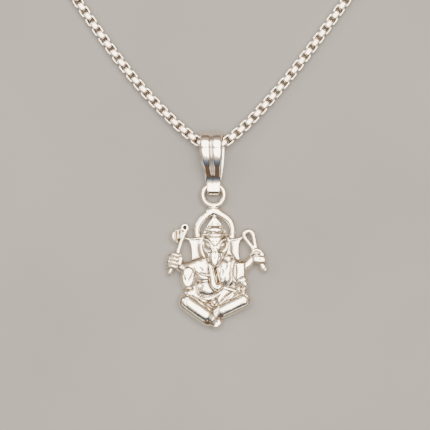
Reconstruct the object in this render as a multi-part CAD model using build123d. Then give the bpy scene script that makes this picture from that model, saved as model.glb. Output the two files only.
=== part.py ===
"""Elephant-headed seated figure pendant on a box chain, laid flat, in millimetres.

The figure is one casting with a flat back, its halo arch and a soldered top ring.
A tapered bail hangs the ring on the chain, and a plain clasp closes the loop.
+X is to the right, +Y towards the neck and +Z up from the surface that it lies on.
The origin is the middle of the figure's flat back.
"""
from build123d import *
import math
import os
from itertools import product

import numpy as np

# Figure: the casting is laid out on a grid of 100 steps across, 120 steps up and 24 steps deep,
# so each number in its tables is a share of one of these three sizes
FIGURE_WIDTH = 15.0
FIGURE_HEIGHT = 18.0
FIGURE_DEPTH = 3.6
STEP = np.array([FIGURE_WIDTH / 100, FIGURE_HEIGHT / 120, FIGURE_DEPTH / 24])
# Net over the casting, in steps: the size of a cell, how far a form reaches past its own box,
# the height below which no crease cuts, and the ends of the grid
CELL = 2.1
EDGE_STEPS = 4.0
CREASE_FLOOR = 3.0
GRID_LOW = (-56, -70)
GRID_RIGHT = 62
GRID_HIGH = 32

# Clearances
GAP = 0.1
RING_LIFT = 0.27
RING_PLAY = 0.2
CHAIN_PLAY = 0.75

# Top ring, soldered to the top of the halo
RING_BORE = 2.35
RING_WIRE = 0.85
SOLDER_OVERLAP = 0.35
HALO_TOP = 61.8
HALO_MIDDLE = -0.5

# Chain: a box chain, as the tube that its links fill
CHAIN_WIDTH = 1.5

# Bail: a tapered strip bent to a teardrop, with two half-round ribs and a thin middle ridge.
# Its width follows a sine of its height, raised to the taper, and its front leg swells by one wave
BAIL_THICKNESS = 0.3
BAIL_TOP_WIDTH = 3.4
BAIL_FOOT_WIDTH = RING_BORE - 2 * RING_PLAY
BAIL_TOP_RADIUS = BAIL_THICKNESS + CHAIN_WIDTH / 2 + CHAIN_PLAY
BAIL_FOOT_RADIUS = BAIL_THICKNESS + RING_WIRE / 2 + RING_PLAY
BAIL_LENGTH = 9.65
BAIL_RIB = 0.28
BAIL_TILT = 0.2
BAIL_LEAN = 0.25
BAIL_SLACK = 1.0
BAIL_SWELL = 0.24
BAIL_TAPER = 1.2

# Clasp: a round ring with two end caps that hold the chain's ends
CLASP_RING = 6.0
CLASP_WIRE = 1.3
CAP_WALL = 0.3
CAP_LENGTH = 3.0
CAP_BORE_DEPTH = 2.0

# Places that follow from the sizes
RING_RADIUS = (RING_BORE + RING_WIRE) / 2
RING_X = HALO_MIDDLE * STEP[0]
RING_Y = HALO_TOP * STEP[1] - SOLDER_OVERLAP + RING_BORE / 2 + RING_WIRE
RING_Z = BAIL_THICKNESS + RING_LIFT + RING_WIRE / 2
BAIL_FOOT_Y = RING_Y + RING_BORE / 2 - BAIL_SLACK - BAIL_THICKNESS + BAIL_FOOT_RADIUS
BAIL_TOP_Y = BAIL_FOOT_Y - BAIL_FOOT_RADIUS + BAIL_LENGTH - BAIL_RIB - BAIL_TOP_RADIUS
BAIL_TOP_X = RING_X - BAIL_TILT
CHAIN_LIFT = 0.45
SEAT_Z = BAIL_THICKNESS + GAP + CHAIN_WIDTH / 2 + CHAIN_LIFT
CAP_RADIUS = CHAIN_WIDTH / 2 + GAP + CAP_WALL


class Casting:
    """A solid form as signed distances on a grid, in steps: below zero is metal."""

    def __init__(self, low, high, cell):
        self.cell = cell
        self.low = np.array(low, float)
        counts = np.ceil((np.array(high) - self.low) / cell).astype(int) + 1
        self.axes = [self.low[i] + cell * np.arange(counts[i]) for i in range(3)]
        self.value = np.full(counts, 9.0)

    def shape(self, low, high, distance, blend, cut):
        """Adds or cuts a form inside its own box, with a fillet as wide as blend."""
        reach = EDGE_STEPS + blend
        span = []
        for axis, a, b in zip(self.axes, low, high):
            span.append(slice(*np.searchsorted(axis, (a - reach, b + reach))))
        x = self.axes[0][span[0]][:, None, None]
        y = self.axes[1][span[1]][None, :, None]
        z = self.axes[2][span[2]][None, None, :]
        old = self.value[tuple(span)]
        sign = -1 if cut else 1
        new = sign * distance(x, y, z)
        fillet = np.maximum(blend - np.abs(old - new), 0) ** 2 / (4 * blend)
        merged = np.maximum(old, new) + fillet if cut else np.minimum(old, new) - fillet
        self.value[tuple(span)] = merged

    def ball(self, x0, y0, z0, rx, ry, rz, turn=0.0, blend=0.6, cut=False):
        """A dome with its own three radii, turned about Z, upright below z0; a cut is a whole ellipsoid."""
        c = math.cos(math.radians(turn))
        s = math.sin(math.radians(turn))
        reach = max(rx, ry)

        def distance(x, y, z):
            u = (c * (x - x0) + s * (y - y0)) / rx
            v = (c * (y - y0) - s * (x - x0)) / ry
            w = (z - z0) / rz if cut else np.maximum(z - z0, 0) / rz
            near = np.sqrt(u * u + v * v + w * w)
            slope = np.sqrt((u / rx) ** 2 + (v / ry) ** 2 + (w / rz) ** 2)
            return near * (near - 1) / np.maximum(slope, 1e-6)

        low = (x0 - reach, y0 - reach, z0 - rz if cut else 0)
        high = (x0 + reach, y0 + reach, z0 + rz)
        self.shape(low, high, distance, blend, cut)

    def limb(self, rows, blend=0.6, flat=0.8, closed=False, steps=3, whole=False):
        """A half-round bar through rows of x, y, z, radius, upright below z; whole is a round bar.

        Its top is flat times as high as it is half wide.
        """
        points = smooth(rows, closed, steps)
        radius = points[:, 3].max()
        flat = 1 if whole else flat

        def above(height):
            return height / flat if whole else np.maximum(height, 0) / flat

        def distance(x, y, z):
            nearest = None
            for a, b in zip(points[:-1], points[1:]):
                run = (b - a)[:3]
                level = run[:2] @ run[:2]
                climb = run[2] / flat
                along = ((x - a[0]) * run[0] + (y - a[1]) * run[1]) / level
                up = above(z - a[2] - along * run[2])
                t = np.clip(along + up * climb / (level + climb * climb), 0, 1)
                dx = x - a[0] - t * run[0]
                dy = y - a[1] - t * run[1]
                dz = above(z - a[2] - t * run[2])
                off = np.sqrt(dx * dx + dy * dy + dz * dz) - (a[3] + t * (b[3] - a[3]))
                nearest = off if nearest is None else np.minimum(nearest, off)
            return nearest

        low = points[:, :3].min(axis=0) - radius
        high = points[:, :3].max(axis=0) + radius
        if not whole:
            low[2] = 0
        self.shape(low, high, distance, blend, False)

    def plate(self, outline, bottom, top, edge, blend=0.6, steps=3):
        """A form of a drawn outline, upright to bottom, then rounded in over edge up to top."""
        corners = smooth(outline, True, steps)[:-1] if steps else np.array(outline, float)
        height = top - bottom

        def distance(x, y, z):
            u = np.maximum(side_of(corners, x[:, :, 0], y[:, :, 0])[:, :, None] / edge + 1, 0)
            w = np.maximum((z - bottom) / height, 0)
            near = np.sqrt(u * u + w * w)
            slope = np.sqrt((u / edge) ** 2 + (w / height) ** 2)
            off = near * (near - 1) / np.maximum(slope, 1e-6)
            return np.where(near < 0.4, -0.4 * min(edge, height), off)

        low = (*corners.min(axis=0), 0)
        high = (*corners.max(axis=0), top)
        self.shape(low, high, distance, blend, False)

    def crease(self, rows, closed=False, steps=4):
        """A groove that follows the surface: rows of x, y, half width, depth; below zero is a ridge."""
        points = smooth(rows, closed, steps)
        reach = 2.2 * points[:, 2].max()
        span = []
        for i in range(2):
            ends = (points[:, i].min() - reach, points[:, i].max() + reach)
            span.append(slice(*np.searchsorted(self.axes[i], ends)))
        x = self.axes[0][span[0]][:, None]
        y = self.axes[1][span[1]][None, :]
        nearest = np.full(np.broadcast(x, y).shape, 1e9)
        push = np.zeros(nearest.shape)
        for a, b in zip(points[:-1], points[1:]):
            run = b - a
            t = np.clip(((x - a[0]) * run[0] + (y - a[1]) * run[1]) / (run[:2] @ run[:2]), 0, 1)
            away = np.hypot(x - a[0] - t * run[0], y - a[1] - t * run[1])
            here = (a[3] + t * run[3]) * np.exp(-(away / (a[2] + t * run[2])) ** 2)
            push = np.where(away < nearest, here, push)
            nearest = np.minimum(away, nearest)
        near_top = np.clip((self.axes[2] - CREASE_FLOOR) / CREASE_FLOOR, 0, 1)
        self.value[tuple(span)] += push[:, :, None] * near_top


def side_of(corners, x, y):
    """Signed distance to a closed outline, below zero inside."""
    nearest = np.full(np.broadcast(x, y).shape, 1e9)
    inside = np.zeros(nearest.shape, bool)
    for a, b in zip(corners, np.roll(corners, -1, axis=0)):
        run = b - a
        t = np.clip(((x - a[0]) * run[0] + (y - a[1]) * run[1]) / (run @ run), 0, 1)
        nearest = np.minimum(nearest, np.hypot(x - a[0] - t * run[0], y - a[1] - t * run[1]))
        if a[1] != b[1]:
            left = x < run[0] * (y - a[1]) / run[1] + a[0]
            inside ^= ((a[1] > y) != (b[1] > y)) & left
    return nearest * np.where(inside, -1, 1)


def smooth(rows, closed, steps):
    """Points on a smooth curve through the rows, each run divided into steps."""
    rows = np.array(rows, float)
    if len(rows) == 2:
        return rows
    if closed:
        rows = np.vstack([rows[-1:], rows, rows[:2]])
    else:
        rows = np.vstack([2 * rows[0] - rows[1], rows, 2 * rows[-1] - rows[-2]])
    share = (np.arange(steps) / steps)[:, None]
    curve = []
    for before, a, b, after in zip(rows[:-3], rows[1:-2], rows[2:-1], rows[3:]):
        bend = 2 * before - 5 * a + 4 * b - after
        twist = 3 * a - before - 3 * b + after
        curve.append(a + 0.5 * ((b - before) * share + bend * share ** 2 + twist * share ** 3))
    curve.append(rows[-2:-1])
    return np.vstack(curve)


# Forms of the casting, in steps: x right of the middle, y up, z off the back.
# A limb's rows are x, y, z, radius; a ball is x, y, z and three radii; a plate's outline is x, y;
# a crease's rows are x, y, half width, depth
def body_plate(metal):
    """The flat backing that joins torso, arms and lap."""
    outline = [(-22, 8), (-9, 12), (10, 12), (24, 7), (31, 4), (31.4, -10), (33, -22), (30, -33),
               (12, -44), (-2, -46), (-22, -36), (-30, -26), (-31.5, -14), (-31, -2)]
    metal.plate(outline, 6, 10.6, 3)
    metal.ball(-9, -4, 8, 15, 14, 5.4, blend=2)
    metal.ball(13, -4, 8, 15, 16, 5, blend=2)


def shawl(metal):
    """Flat cloth that spreads to both sides of the head and touches axe and noose."""
    left = [(-28.8, 31), (-24.4, 29.4), (-20, 29.8), (-14, 31), (-9, 30), (-8, 6), (-22.3, 7),
            (-22.4, 12), (-22.7, 18), (-23.7, 23.6), (-25.6, 27.4), (-29.2, 28.8)]
    right = [(28.6, 32), (25.8, 30.2), (20, 29.2), (15, 28.6), (9, 28), (9, 4), (26.6, 5), (26, 9),
             (25.1, 14), (24.9, 19), (25.4, 24), (26.6, 27.4), (28.8, 29)]
    metal.plate(left, 8, 9.8, 1.2, blend=1, steps=0)
    metal.plate(right, 8, 9.8, 1.2, blend=1, steps=0)
    metal.crease([(-27, 29.8, 0.8, -0.4), (-21, 29.2, 0.9, -0.7), (-14.5, 30, 0.9, -0.7)])
    metal.crease([(27, 30.4, 0.8, -0.4), (21, 28.8, 0.9, -0.7), (16, 28.2, 0.9, -0.7)])


def halo(metal):
    """The pointed arch over the crown, a thick band open on both sides of the crown."""
    left = [(-15.8, 28, 6.6, 3.2), (-16.9, 35, 7, 3.3), (-16.6, 41, 7.2, 3.4), (-13.4, 47.2, 7.4, 3.5),
            (-8.2, 52.4, 7.4, 3.8), (-1.2, 56.9, 7.4, 4.2)]
    right = [(17.8, 28, 6.6, 3.1), (18.4, 35, 7, 3.2), (18.2, 40.5, 7.2, 3.3), (15.6, 46.8, 7.4, 3.5),
             (9.4, 52.2, 7.4, 3.8), (0.4, 56.9, 7.4, 4.2)]
    metal.limb(left, blend=0.8, flat=0.62, steps=4)
    metal.limb(right, blend=0.8, flat=0.62, steps=4)
    metal.limb([(-4, 57.4, 7, 3.4), (3.2, 57.4, 7, 3.4)], blend=2.5, flat=0.62)


def top_ring(metal):
    """The soldered ring, at its own size whatever the figure's size."""
    turns = np.radians(np.arange(0, 360, 30))
    middle = np.array([RING_X, RING_Y, RING_Z]) / STEP
    x = middle[0] + RING_RADIUS * np.cos(turns) / STEP[0]
    y = middle[1] + RING_RADIUS * np.sin(turns) / STEP[1]
    z = np.full(turns.shape, middle[2])
    wire = np.full(turns.shape, RING_WIRE / 2 / STEP[0])
    metal.limb(np.column_stack([x, y, z, wire]), blend=1, closed=True, whole=True)


def crown(metal):
    """A tall crown: a thin rim round a smooth cone, a domed band and a brim roll on the brow."""
    metal.limb([(0.3, 56, 7, 1.5), (0.3, 49.5, 8, 2.2)], blend=1)
    back = [(-9, 31), (-11, 34.8), (-9, 39.2), (-5.2, 45.2), (-1.4, 50.6), (2, 50.6), (6.6, 45),
            (11, 38.8), (13.4, 34.6), (11, 31)]
    metal.plate(back, 9, 10.6, 1.2, steps=0)
    metal.limb([(0.5, 48, 9, 1.5), (0.7, 40.4, 9, 7.2)], blend=1, flat=0.5)
    metal.ball(0.8, 37.8, 9.6, 9.6, 4.4, 4.2, blend=0.8)
    metal.limb([(-11.2, 33.2, 9.6, 1.2), (-5, 33.2, 12.2, 1.3), (0.6, 33, 13, 1.3),
                (6, 33.2, 12.4, 1.3), (13, 33.8, 9.6, 1.2)], blend=1.2)


def head(metal):
    """The elephant's head: skull, ears, flat forehead, slanting brows and eyes, and cheeks."""
    metal.ball(1, 19.6, 8, 16.2, 15.4, 5.6, blend=2)
    metal.ball(1, 21.4, 8, 12.4, 13.6, 7.6, blend=2)
    forehead = [(-6.8, 31.4), (8.6, 31.6), (7, 27.4), (3.2, 23), (1.6, 21.6), (-0.2, 21.6), (-1.6, 23),
                (-5.4, 27.4)]
    metal.plate(forehead, 13, 16, 2.2, blend=1.6, steps=0)
    metal.limb([(0.9, 25, 12.6, 2.2), (1.1, 20, 13.4, 2.2), (1.2, 16.4, 13.6, 4.2)], blend=1.5)
    mid = 1.2
    for side in (-1, 1):
        metal.ball(mid + side * 6.9, 22.7, 13.6, 4.2, 2.1, 2.8, turn=side * 45, blend=0.5)
        metal.limb([(mid + side * 10.6, 28.8, 11.6, 1.2), (mid + side * 6.2, 27, 13.2, 1.2),
                    (mid + side * 3.1, 22.4, 14, 1.1)], blend=0.7)
        metal.limb([(mid + side * 12.6, 24.8, 10.6, 1.3), (mid + side * 11.6, 19.6, 11.4, 1.5),
                    (mid + side * 8.6, 16.4, 12.4, 1.5), (mid + side * 4.8, 15.8, 13, 1.2)], blend=0.7)
        metal.limb([(mid + side * 12.6, 29.6, 8.6, 1.7), (mid + side * 14, 22, 9, 2.1),
                    (mid + side * 13, 15, 9, 2.1), (mid + side * 10.4, 9, 9, 1.9)], blend=2.5)


def trunk(metal):
    """A broad upper trunk like a shield in a rim, then a tube that hangs down and curls up."""
    rim = [(-7.4, 15.4), (-4, 16.8), (1.2, 17.2), (6.4, 16.8), (9.7, 15.2), (9.2, 10.6), (7.2, 6.2),
           (4.2, 2.4), (0.8, -0.2), (-0.4, -0.2), (-2, 1.8), (-5, 6), (-6.9, 10.6)]
    metal.plate(rim, 12.4, 15.4, 2.2, blend=1, steps=2)
    shield = [(-4.2, 14.8), (-1, 16.4), (3.4, 16.4), (6.6, 14.8), (6.4, 10.4), (4.6, 6), (2, 2.6),
              (0.4, 1.4), (-0.8, 2.6), (-3, 6.2), (-4.3, 10.4)]
    metal.plate(shield, 14.4, 17, 2, blend=0.7, steps=2)
    metal.limb([(1.2, 18, 13, 3.2), (1.1, 14, 14, 3.4)], blend=2)
    lower = [(-2.6, 7, 10.6, 2.4), (-3.6, 3, 11.8, 2.7), (-2.2, -3.6, 13, 3.4), (-1.4, -10.5, 14, 3.8),
             (-0.4, -16, 14.6, 3.9), (2.8, -19.2, 15, 3.7), (5.8, -18, 15, 3.2), (6.6, -15.6, 14.6, 2.5)]
    metal.limb(lower, blend=0.8, flat=0.85, steps=4)


def torso(metal):
    """Shoulders, chest fold, round belly and the band under it."""
    metal.ball(-14, 1.6, 8, 11, 8.6, 6, turn=14, blend=2)
    metal.ball(-9, -8.4, 8, 10, 8.6, 6.6, blend=2)
    metal.ball(-6.4, -20.8, 8, 11.6, 9.6, 6.1, turn=-8, blend=1.6)
    metal.crease([(-17.6, -3, 1.6, -0.5), (-13.6, -5.4, 1.5, -1), (-9.6, -6.6, 1.4, -1),
                  (-6, -7.2, 1.2, -0.5)])
    metal.limb([(-15.6, -28, 9.6, 1.8), (-10.8, -31.2, 11, 2.3), (-4, -31.8, 11.4, 2.3),
                (2, -29.4, 11, 2), (6, -25.6, 10, 1.5)], blend=1)


def folds(metal):
    """Cloth that bulges right of the trunk, the ear lobes and the lap cloth."""
    metal.ball(11.4, -6, 8.4, 9, 13, 5.4, turn=2, blend=2)
    metal.ball(8.2, -7.4, 9, 5.8, 11, 5.6, turn=2, blend=1.2)
    metal.ball(14.6, -0.6, 9.6, 3.6, 8.6, 4.2, turn=-16, blend=1.6)
    metal.ball(14.2, 8.8, 10, 4.6, 5.4, 3.8, blend=1.5)
    metal.limb([(16, 15, 10, 1.2), (19.4, 9.8, 10, 1.4), (18.2, 4.4, 10.8, 1.4), (14.8, 0.6, 12.4, 1.4),
                (11.6, -2.8, 13, 1)], blend=1.2)
    metal.ball(-8.9, 7.2, 10.6, 2.1, 3.8, 2.8, turn=20, blend=1.2)
    lap = [(5, -20), (14, -19), (22, -22.4), (19, -30), (9, -38), (1, -33)]
    metal.plate(lap, 8, 12, 3, blend=1.6)
    metal.limb([(9.8, -19.4, 11, 1.5), (16, -21, 11.4, 1.6), (22, -23.4, 11, 1.4)], blend=1.2)


def legs(metal):
    """Crossed legs in smooth polished cloth, the left one in front, and its foot."""
    metal.limb([(29, -32, 8.4, 8.6), (8, -42.4, 8.2, 8), (1, -46, 7.4, 6.4)], flat=0.82, blend=1.2,
                steps=2)
    metal.limb([(-26.8, -33.8, 8.8, 8.8), (-8.4, -46.8, 9.4, 9), (2.6, -52.4, 8, 5.6)], flat=0.82,
                blend=1.2, steps=2)
    metal.ball(-8.4, -53.4, 6.6, 5.6, 4, 6.4, turn=-32, blend=2)
    foot = [(-2.4, -51.4), (2.4, -49.6), (6.8, -50.6), (9.3, -54.6), (7, -57.6), (3.8, -60.2),
            (-0.4, -60.6), (-2.8, -56.6)]
    metal.plate(foot, 7, 12.4, 2.6, blend=1.4, steps=1)
    metal.ball(-0.3, -33.5, 9.6, 4.3, 4.3, 5, blend=1)
    metal.limb([(-31.4, -27.6, 7.6, 2.4), (-27, -25, 9, 2.6), (-21, -24.6, 9.4, 2.4)], blend=1.6)
    metal.plate([(-26, -16), (-15, -16), (-13, -30), (-26, -30)], 8, 11.4, 2.6, blend=2)


def open_hand(metal):
    """The front right hand, an upright oval palm with a sleeve rim round its top and side."""
    metal.limb([(-9, 7.6, 8, 3.8), (-17.6, 4.2, 9, 5), (-26, 0.8, 8.6, 5), (-33.4, -0.6, 7.6, 3.8)],
                blend=2)
    sleeve = [(-33.2, -4), (-31.4, 1.8), (-25.4, 4), (-19.2, 1.6), (-16.8, -5), (-17.2, -14),
              (-21.4, -19.8), (-28, -20.8), (-32.8, -15)]
    metal.plate(sleeve, 9, 12.4, 2.6, blend=1)
    palm = [(-31.8, -5), (-29.6, 0), (-24.6, 1.8), (-20.2, -1), (-18.8, -8), (-20.2, -15.4),
            (-25.2, -20), (-30.4, -17.6), (-32.6, -11)]
    metal.plate(palm, 11.4, 14.4, 2.8, blend=0.8)


def axe_arm(metal):
    """The rear right arm and its fist round the axe's handle, four fingers across."""
    metal.limb([(-24, 2.4, 8, 4.4), (-32, 1.4, 8, 4.2), (-37.6, 3.4, 8, 4.4)], blend=1.6)
    fist = [(-47.4, 5), (-46.4, 10.6), (-41.6, 16), (-36, 16.2), (-31.6, 10.4), (-30.8, 4), (-34, 0.6),
            (-40, -0.4), (-45.4, 1)]
    metal.plate(fist, 8, 12, 3.6, blend=1)
    for row in range(4):
        x = -38.4 - 0.9 * row
        y = 13.2 - 3.7 * row
        metal.limb([(x - 5.4, y - 0.2, 9.4, 1.9), (x - 1, y + 0.4, 11.8, 1.9),
                    (x + 3.4, y - 1, 11.8, 1.7)], blend=0.7)
    metal.limb([(-34.6, 14.2, 10, 1.7), (-32.9, 9, 11, 1.9), (-34, 4, 11, 1.7)], blend=1)


def axe(metal):
    """The axe: handle with an eye at its top, ribbed neck and a curved blade."""
    metal.limb([(-27.6, 38.4, 8, 2.5), (-30.2, 32.4, 8.4, 2), (-33, 25, 8.8, 1.8),
                (-35.8, 16, 9.2, 2.2)])
    metal.limb([(-41.8, 1, 8, 2.9), (-44.6, -5, 7.6, 2.5)])
    turns = np.radians(np.arange(0, 360, 45))
    x = -29 + 2.5 * np.cos(turns)
    y = 40.6 + 2.5 * np.sin(turns)
    metal.limb(np.column_stack([x, y, np.full(8, 8.4), np.full(8, 1.7)]), closed=True)
    neck = [(-37.4, 38.6), (-33.4, 39.4), (-29.6, 38), (-30.6, 33), (-33.6, 29.4), (-37.6, 29)]
    metal.plate(neck, 7, 9, 1.6, blend=1)
    metal.limb([(-35.4, 37.8, 8.8, 1.1), (-35.8, 30.2, 8.8, 1.1)], flat=1, blend=0.5)
    metal.limb([(-32.8, 38.4, 8.8, 1), (-33.2, 31, 8.8, 1)], flat=1, blend=0.5)
    blade = [(-36.6, 38.8), (-39.4, 38.6), (-42.4, 36), (-43.4, 32), (-42.6, 28.4), (-40, 26.2),
             (-37, 25.2), (-35.6, 26.6), (-37, 29), (-37.4, 34)]
    metal.plate(blade, 7, 11.8, 3.2, blend=0.7)


def noose_arm(metal):
    """The rear left arm and its fist, two fingers and a broad band across the noose's handle."""
    metal.limb([(14, 7, 8, 4.6), (25, 3, 8, 5.2), (32.6, 3, 8, 5.2), (37.4, 8.4, 8, 4.6)], blend=2)
    fist = [(36.4, 12), (38.8, 17.6), (44, 20), (49.6, 17), (52.4, 11), (51.8, 6), (46, 4.8), (39.4, 6)]
    metal.plate(fist, 8, 11.6, 3.4, blend=1)
    metal.limb([(37.4, 13.4, 10, 1.8), (41.4, 15.4, 11.4, 1.8), (45, 15, 11, 1.6)], blend=0.8)
    metal.limb([(38.4, 17.4, 9.4, 1.5), (42, 18.6, 10.4, 1.5), (46, 17.6, 10, 1.4)], blend=0.8)
    band = [(38.6, 11.4), (38.8, 6.4), (44, 4.8), (51.2, 5.4), (52, 9), (50.2, 12), (46, 12.6),
            (41, 12.8)]
    metal.plate(band, 10.6, 13.6, 2.4, blend=0.6)


def noose(metal):
    """The noose, a loop of cord whose two ends cross at the hand, and its handle end."""
    loop = [(39.2, 19.4, 9, 2), (34.6, 25.4, 8.6, 2), (30.8, 30.4, 8.4, 2.1), (30.2, 34.6, 8.4, 2.3),
            (34.2, 37.2, 8.4, 2.4), (38.4, 35, 8.4, 2.4), (40, 29.4, 8.6, 2.3), (41.2, 22.6, 8.8, 2.2),
            (41.8, 17, 9, 2.2)]
    metal.limb(loop, steps=4)
    metal.limb([(38.6, 21, 9, 1.9), (39.4, 15, 9.4, 2.4)])
    metal.limb([(46.6, 5.4, 8, 3), (49.4, 0.8, 8, 3.5), (50.3, -0.6, 7.8, 3.5)])
    metal.ball(51, -1, 11.4, 1, 1.4, 1.4, turn=30, cut=True)


def knee_arm(metal):
    """The front left arm: a polished sleeve with a groove along it, and a hand on the knee."""
    arm = [(17.2, 3), (20.4, 6.4), (28, 7.4), (32.6, 3.6), (32.8, -9), (31, -14), (24, -16),
           (19, -12.4), (17, -5)]
    metal.plate(arm, 8, 12.2, 2.8, blend=1.6)
    sleeve = [(18.4, 3), (21, 5.8), (30, 6), (31.2, 3), (31, -9.6), (27.6, -9.4), (24.2, -12.8),
              (21.4, -12), (18.6, -9)]
    metal.plate(sleeve, 11, 14.2, 2.4, blend=0.8, steps=2)
    metal.crease([(21.8, 3.4, 1, 0.4), (21.9, -2, 1.1, 1.1), (21.6, -8.4, 1, 1)])
    hand = [(21.6, -18.4), (23, -13), (28.4, -10.2), (33.2, -12.6), (34, -17.4), (31.4, -21.8),
            (25.6, -22.4)]
    metal.plate(hand, 8, 12.6, 2.8, blend=1)
    metal.limb([(25, -20.8, 11.2, 1.6), (27, -16.6, 12.6, 1.8), (29.8, -14.8, 12.8, 2),
                (32, -17, 12, 1.6)], blend=0.9)


FORMS = [body_plate, shawl, halo, top_ring, crown, head, torso, folds, trunk, legs, open_hand, axe_arm,
         noose_arm, axe, noose, knee_arm]


# Net of facets over the casting: the corners of a cell, and how deep a filled corner counts,
# in steps
CORNERS = list(product((0, 1), repeat=3))
EDGE_FILL = 0.05


def fill_pinches(value):
    """Fills corners where metal meets metal only across a diagonal, so that the skin is closed."""
    found = True
    while found:
        inside = value < 0
        fill = np.zeros_like(inside)
        for axis in range(3):
            metal = np.moveaxis(inside, axis, 2)
            add = np.moveaxis(fill, axis, 2)
            a, b, c, d = metal[:-1, :-1], metal[1:, :-1], metal[:-1, 1:], metal[1:, 1:]
            add[1:, :-1] |= a & d & ~b & ~c
            add[:-1, 1:] |= a & d & ~b & ~c
            add[:-1, :-1] |= b & c & ~a & ~d
            add[1:, 1:] |= b & c & ~a & ~d
        total = sum(at_corner(inside, c).astype(int) for c in CORNERS)
        for c in CORNERS[:4]:
            o = tuple(1 - v for v in c)
            both = at_corner(inside, c) & at_corner(inside, o)
            neither = ~at_corner(inside, c) & ~at_corner(inside, o)
            pinch = ((total == 2) & both) | ((total == 6) & neither)
            for e in CORNERS:
                at_corner(fill, e)[pinch] = True
        fill &= ~inside
        value[fill] = -EDGE_FILL
        found = fill.any()


def at_corner(grid, corner):
    """The grid as each cell sees it at one of its eight corners."""
    return grid[tuple(slice(c, n - 1 + c) for c, n in zip(corner, grid.shape))]


def skin(metal):
    """Points and four-sided facets of the casting's skin, one point in each cell that it crosses.

    The lowest layer of cells is pressed onto the surface z = 0, and its facets come apart from
    the rest, because the flat back is made as one face.
    """
    value = metal.value
    inside = value < 0
    total = sum(at_corner(inside, c).astype(int) for c in CORNERS)
    crossed = (total > 0) & (total < 8)
    cells = np.argwhere(crossed)
    number = np.full(crossed.shape, -1)
    number[crossed] = np.arange(len(cells))
    place = np.zeros((2, len(cells), 3))
    count = np.zeros((2, len(cells), 1))
    for axis in range(3):
        for c in CORNERS:
            if c[axis]:
                continue
            end = tuple(1 if i == axis else v for i, v in enumerate(c))
            a = at_corner(value, c)[crossed]
            b = at_corner(value, end)[crossed]
            hit = (a < 0) != (b < 0)
            at = np.tile(np.array(c, float), (len(cells), 1))
            at[:, axis] = np.where(hit, a / np.where(hit, a - b, 1), 0)
            level = int(axis < 2 and c[2] == 1)
            for kind in {0, level}:
                place[kind] += at * hit[:, None]
                count[kind] += hit[:, None]
    local = place[0] / count[0]
    low = cells[:, 2] == 0
    rim = low & (count[1][:, 0] > 0)
    local[rim, :2] = (place[1][rim] / count[1][rim])[:, :2]
    points = metal.low + metal.cell * (cells + local)
    points[low, 2] = 0
    sides = []
    back = []
    for axis in range(3):
        u = (axis + 1) % 3
        v = (axis + 2) % 3
        step = np.moveaxis(inside, axis, 0)
        edge = np.argwhere(np.moveaxis(step[:-1] != step[1:], 0, axis))
        ring = []
        for du, dv in ((-1, -1), (0, -1), (0, 0), (-1, 0)):
            at = edge.copy()
            at[:, u] += du
            at[:, v] += dv
            ring.append(number[tuple(at.T)])
        facet = np.stack(ring, axis=1)
        outward = inside[tuple(edge.T)]
        facet[~outward] = facet[~outward, ::-1]
        flat = (axis == 2) & (edge[:, 2] == 0)
        sides.append(facet[~flat])
        back.append(facet[flat])
    return points, np.concatenate(sides), np.concatenate(back)


def outer_skin(size, facets):
    """Which points are on the largest closed skin, as against bubbles left inside the metal."""
    label = np.arange(size)
    changed = True
    while changed:
        before = label.copy()
        lowest = label[facets].min(axis=1)
        np.minimum.at(label, facets, lowest[:, None])
        label = label[label]
        changed = (label != before).any()
    return label == np.bincount(label).argmax()


def rims(facets):
    """Closed chains of points round a patch of facets, each in its own direction."""
    edges = {(int(a), int(b)) for facet in facets for a, b in zip(facet, np.roll(facet, -1))}
    after = {a: b for a, b in edges if (b, a) not in edges}
    chains = []
    while after:
        point = min(after)
        chain = []
        while point in after:
            chain.append(point)
            point = after.pop(point)
        chains.append(chain)
    return chains


def halved(points, facets):
    """Each four-sided facet as two triangles, cut across its shorter diagonal."""
    first = np.linalg.norm(points[facets[:, 0]] - points[facets[:, 2]], axis=1)
    second = np.linalg.norm(points[facets[:, 1]] - points[facets[:, 3]], axis=1)
    a = facets[first <= second]
    b = facets[first > second]
    return np.concatenate([a[:, [0, 1, 2]], a[:, [0, 2, 3]], b[:, [0, 1, 3]], b[:, [1, 2, 3]]])


def closed_solid(points, triangles, flat_faces=()):
    """One solid from a closed skin of triangles and any flat faces."""
    corners = [Vector(*p) for p in points.tolist()]
    faces = [Face(Wire.make_polygon([corners[i] for i in t])) for t in triangles.tolist()]
    return Solid(Shell(faces + list(flat_faces)))


def area(points, chain):
    """Signed area of a chain of points in the XY plane."""
    x, y = points[chain][:, 0], points[chain][:, 1]
    return 0.5 * float(np.sum(x * np.roll(y, -1) - y * np.roll(x, -1)))


def flat_back(points, facets):
    """The flat back as whole faces: each outline with the holes that lie inside it."""
    chains = rims(facets)
    wires = [Wire.make_polygon([Vector(*p) for p in points[c].tolist()]) for c in chains]
    outlines = [w for w, c in zip(wires, chains) if area(points, c) < 0]
    holes = [w for w, c in zip(wires, chains) if area(points, c) > 0]
    faces = []
    for outline in outlines:
        plain = Face(outline)
        inner = [h for h in holes if plain.is_inside(h.center())]
        faces.append(Face(outline, inner))
    return faces


def make_figure():
    """The casting: its forms on the grid, then its skin and its flat back."""
    top = (RING_Y + RING_RADIUS + RING_WIRE) / STEP[1]
    metal = Casting((*GRID_LOW, -CELL / 2), (GRID_RIGHT, top + EDGE_STEPS, GRID_HIGH), CELL)
    for form in FORMS:
        form(metal)
    metal.value[:, :, 0] = CELL
    fill_pinches(metal.value)
    metal.value[:, :, 0] = CELL
    points, sides, back = skin(metal)
    body = outer_skin(len(points), np.concatenate([sides, back]))
    points = points * STEP
    sides = sides[body[sides[:, 0]]]
    back = back[body[back[:, 0]]]
    return closed_solid(points, halved(points, sides), flat_back(points, back))


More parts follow.
